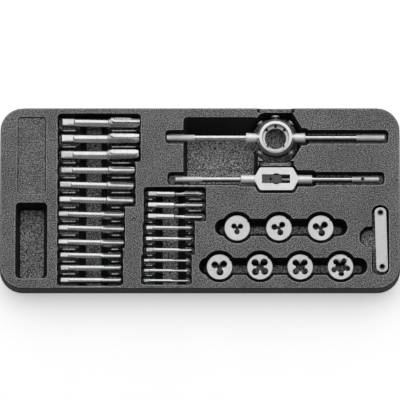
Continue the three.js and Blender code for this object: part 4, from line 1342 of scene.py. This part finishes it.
class OBJECT_OT_drawer_tray(bpy.types.Operator):
    """Rounds the tray's edges and gives it its grained plastic"""

    bl_idname = "object.drawer_tray"
    bl_label = "Tray"

    def execute(self, context):
        look = context.scene.drawer_tray
        tray = frame["nodes"]["tray"]
        mesh = tray.modifiers.new("fine mesh", "REMESH")
        mesh.mode = "VOXEL"
        mesh.voxel_size = look.voxel
        mesh.use_smooth_shade = True
        ease = tray.modifiers.new("rounding", "SMOOTH")
        ease.factor = 0.5
        ease.iterations = look.smoothing
        tray.data.materials.clear()
        tray.data.materials.append(pebbled_plastic(look))
        return {"FINISHED"}


# Stage


def softbox(look, target):
    """One large lamp above and behind the tray, which the camera doesn't see."""
    light = bpy.data.lights.new("softbox", "AREA")
    light.shape = "RECTANGLE"
    light.size = look.lamp_width
    light.size_y = look.lamp_depth
    light.energy = look.lamp_power
    thing = bpy.data.objects.new("softbox", light)
    away = Vector((0, math.sin(look.lamp_lean), math.cos(look.lamp_lean)))
    thing.location = target + away * look.lamp_distance
    thing.rotation_euler = (-look.lamp_lean, 0, 0)
    thing.visible_camera = False
    bpy.context.scene.collection.objects.link(thing)


def soft_world(look):
    """Weak even light from all around, a little stronger from above and in reflections."""
    world = bpy.data.worlds.new("studio")
    world.use_nodes = True
    tree = world.node_tree
    place = tree.nodes.new("ShaderNodeTexCoord")
    split = tree.nodes.new("ShaderNodeSeparateXYZ")
    level = tree.nodes.new("ShaderNodeMapRange")
    level.inputs["From Min"].default_value = -1
    level.inputs["To Min"].default_value = look.fill * (1 - SKY_SLOPE)
    level.inputs["To Max"].default_value = look.fill * (1 + SKY_SLOPE)
    tree.links.new(place.outputs["Generated"], split.inputs[0])
    tree.links.new(split.outputs["Z"], level.inputs["Value"])
    rays = tree.nodes.new("ShaderNodeLightPath")
    gain = tree.nodes.new("ShaderNodeMath")
    gain.operation = "MULTIPLY_ADD"
    gain.inputs[1].default_value = look.sky_gloss
    gain.inputs[2].default_value = 1
    tree.links.new(rays.outputs["Is Glossy Ray"], gain.inputs[0])
    strength = tree.nodes.new("ShaderNodeMath")
    strength.operation = "MULTIPLY"
    tree.links.new(level.outputs["Result"], strength.inputs[0])
    tree.links.new(gain.outputs[0], strength.inputs[1])
    tree.links.new(strength.outputs[0], tree.nodes["Background"].inputs["Strength"])
    tree.nodes["Background"].inputs["Color"].default_value = (1, 1, 1, 1)
    bpy.context.scene.world = world


def paper_floor(look):
    """White paper that is seen a little whiter than it is lit and keeps the tray's shadow."""
    floor = Finish("paper_floor", 0, Specular_IOR_Level=0.1)
    tone = np.array(look.floor_colour)
    shades = floor.shaded(floor.noise(80 * MM), tone, (0.985, 1))
    rough = floor.ramp(floor.noise(2 * MM), 0.8, 0.9, *GENTLE)
    floor.finish(shades, rough, floor.bump(floor.noise(0.8 * MM), 0.02 * MM))
    rays = floor.node("ShaderNodeLightPath")
    seen = floor.node("ShaderNodeMath", operation="MAXIMUM")
    floor.link(rays.outputs["Is Camera Ray"], seen.inputs[0])
    floor.link(rays.outputs["Is Glossy Ray"], seen.inputs[1])
    either = floor.node("ShaderNodeMath", operation="MAXIMUM")
    floor.link(seen.outputs[0], either.inputs[0])
    floor.link(rays.outputs["Is Transmission Ray"], either.inputs[1])
    lift = floor.node("ShaderNodeMath", operation="MULTIPLY")
    lift.inputs[1].default_value = look.floor_lift
    floor.link(either.outputs[0], lift.inputs[0])
    floor.shader.inputs["Emission Color"].default_value = (1, 1, 1, 1)
    floor.link(lift.outputs[0], floor.shader.inputs["Emission Strength"])
    return floor.material


class OBJECT_OT_drawer_stage(bpy.types.Operator):
    """Sets the floor, the lamps and the camera"""

    bl_idname = "object.drawer_stage"
    bl_label = "Stage"

    def execute(self, context):
        look = context.scene.drawer_stage
        scene = context.scene
        high = cad_box[1]
        wide = PAPER_REACH
        corners = [(*corner, 0) for corner in rectangle(-wide, wide, -wide, wide)]
        floor = made("floor", corners, [(0, 1, 2, 3)])
        floor.data.materials.append(paper_floor(look))
        softbox(look, Vector((0, 0, high.z)))
        soft_world(look)
        camera = bpy.data.objects.new("camera", bpy.data.cameras.new("camera"))
        scene.collection.objects.link(camera)
        lean = look.lean
        away = Vector((0, -math.sin(lean), math.cos(lean)))
        aim = Vector((0, look.aim, high.z / 2))
        camera.location = aim + away * look.distance
        camera.rotation_euler = (lean, 0, 0)
        camera.data.sensor_width = SENSOR_WIDTH
        camera.data.lens = SENSOR_WIDTH * (look.distance - high.z / 2) / look.view_width
        camera.data.clip_start = 0.05
        camera.data.clip_end = 30
        scene.camera = camera
        scene.view_settings.view_transform = "Standard"
        return {"FINISHED"}


OPERATORS = (
    OBJECT_OT_drawer_tray,
    OBJECT_OT_drawer_taps,
    OBJECT_OT_drawer_dies,
    OBJECT_OT_drawer_stock,
    OBJECT_OT_drawer_wrench,
    OBJECT_OT_drawer_gauge,
    OBJECT_OT_drawer_stage,
)


class VIEW3D_PT_drawer(bpy.types.Panel):
    """Lists the looks and the pieces of the tray"""

    bl_idname = "VIEW3D_PT_drawer"
    bl_label = "Drawer tray"
    bl_space_type = "VIEW_3D"
    bl_region_type = "UI"
    bl_category = "Drawer tray"

    def draw(self, context):
        for operator, (holder, look) in zip(OPERATORS, LOOKS.items()):
            box = self.layout.box()
            box.operator(operator.bl_idname)
            for key in look.__annotations__:
                box.prop(getattr(context.scene, holder), key)


def register():
    for kind in (*LOOKS.values(), *OPERATORS, VIEW3D_PT_drawer):
        bpy.utils.register_class(kind)
    for holder, look in LOOKS.items():
        setattr(bpy.types.Scene, holder, PointerProperty(type=look))


def unregister():
    for holder in LOOKS:
        delattr(bpy.types.Scene, holder)
    for kind in reversed((*LOOKS.values(), *OPERATORS, VIEW3D_PT_drawer)):
        bpy.utils.unregister_class(kind)


def main():
    register()
    for operator in OPERATORS:
        group, name = operator.bl_idname.split(".")
        getattr(getattr(bpy.ops, group), name)()


if __name__ == "__main__":
    main()
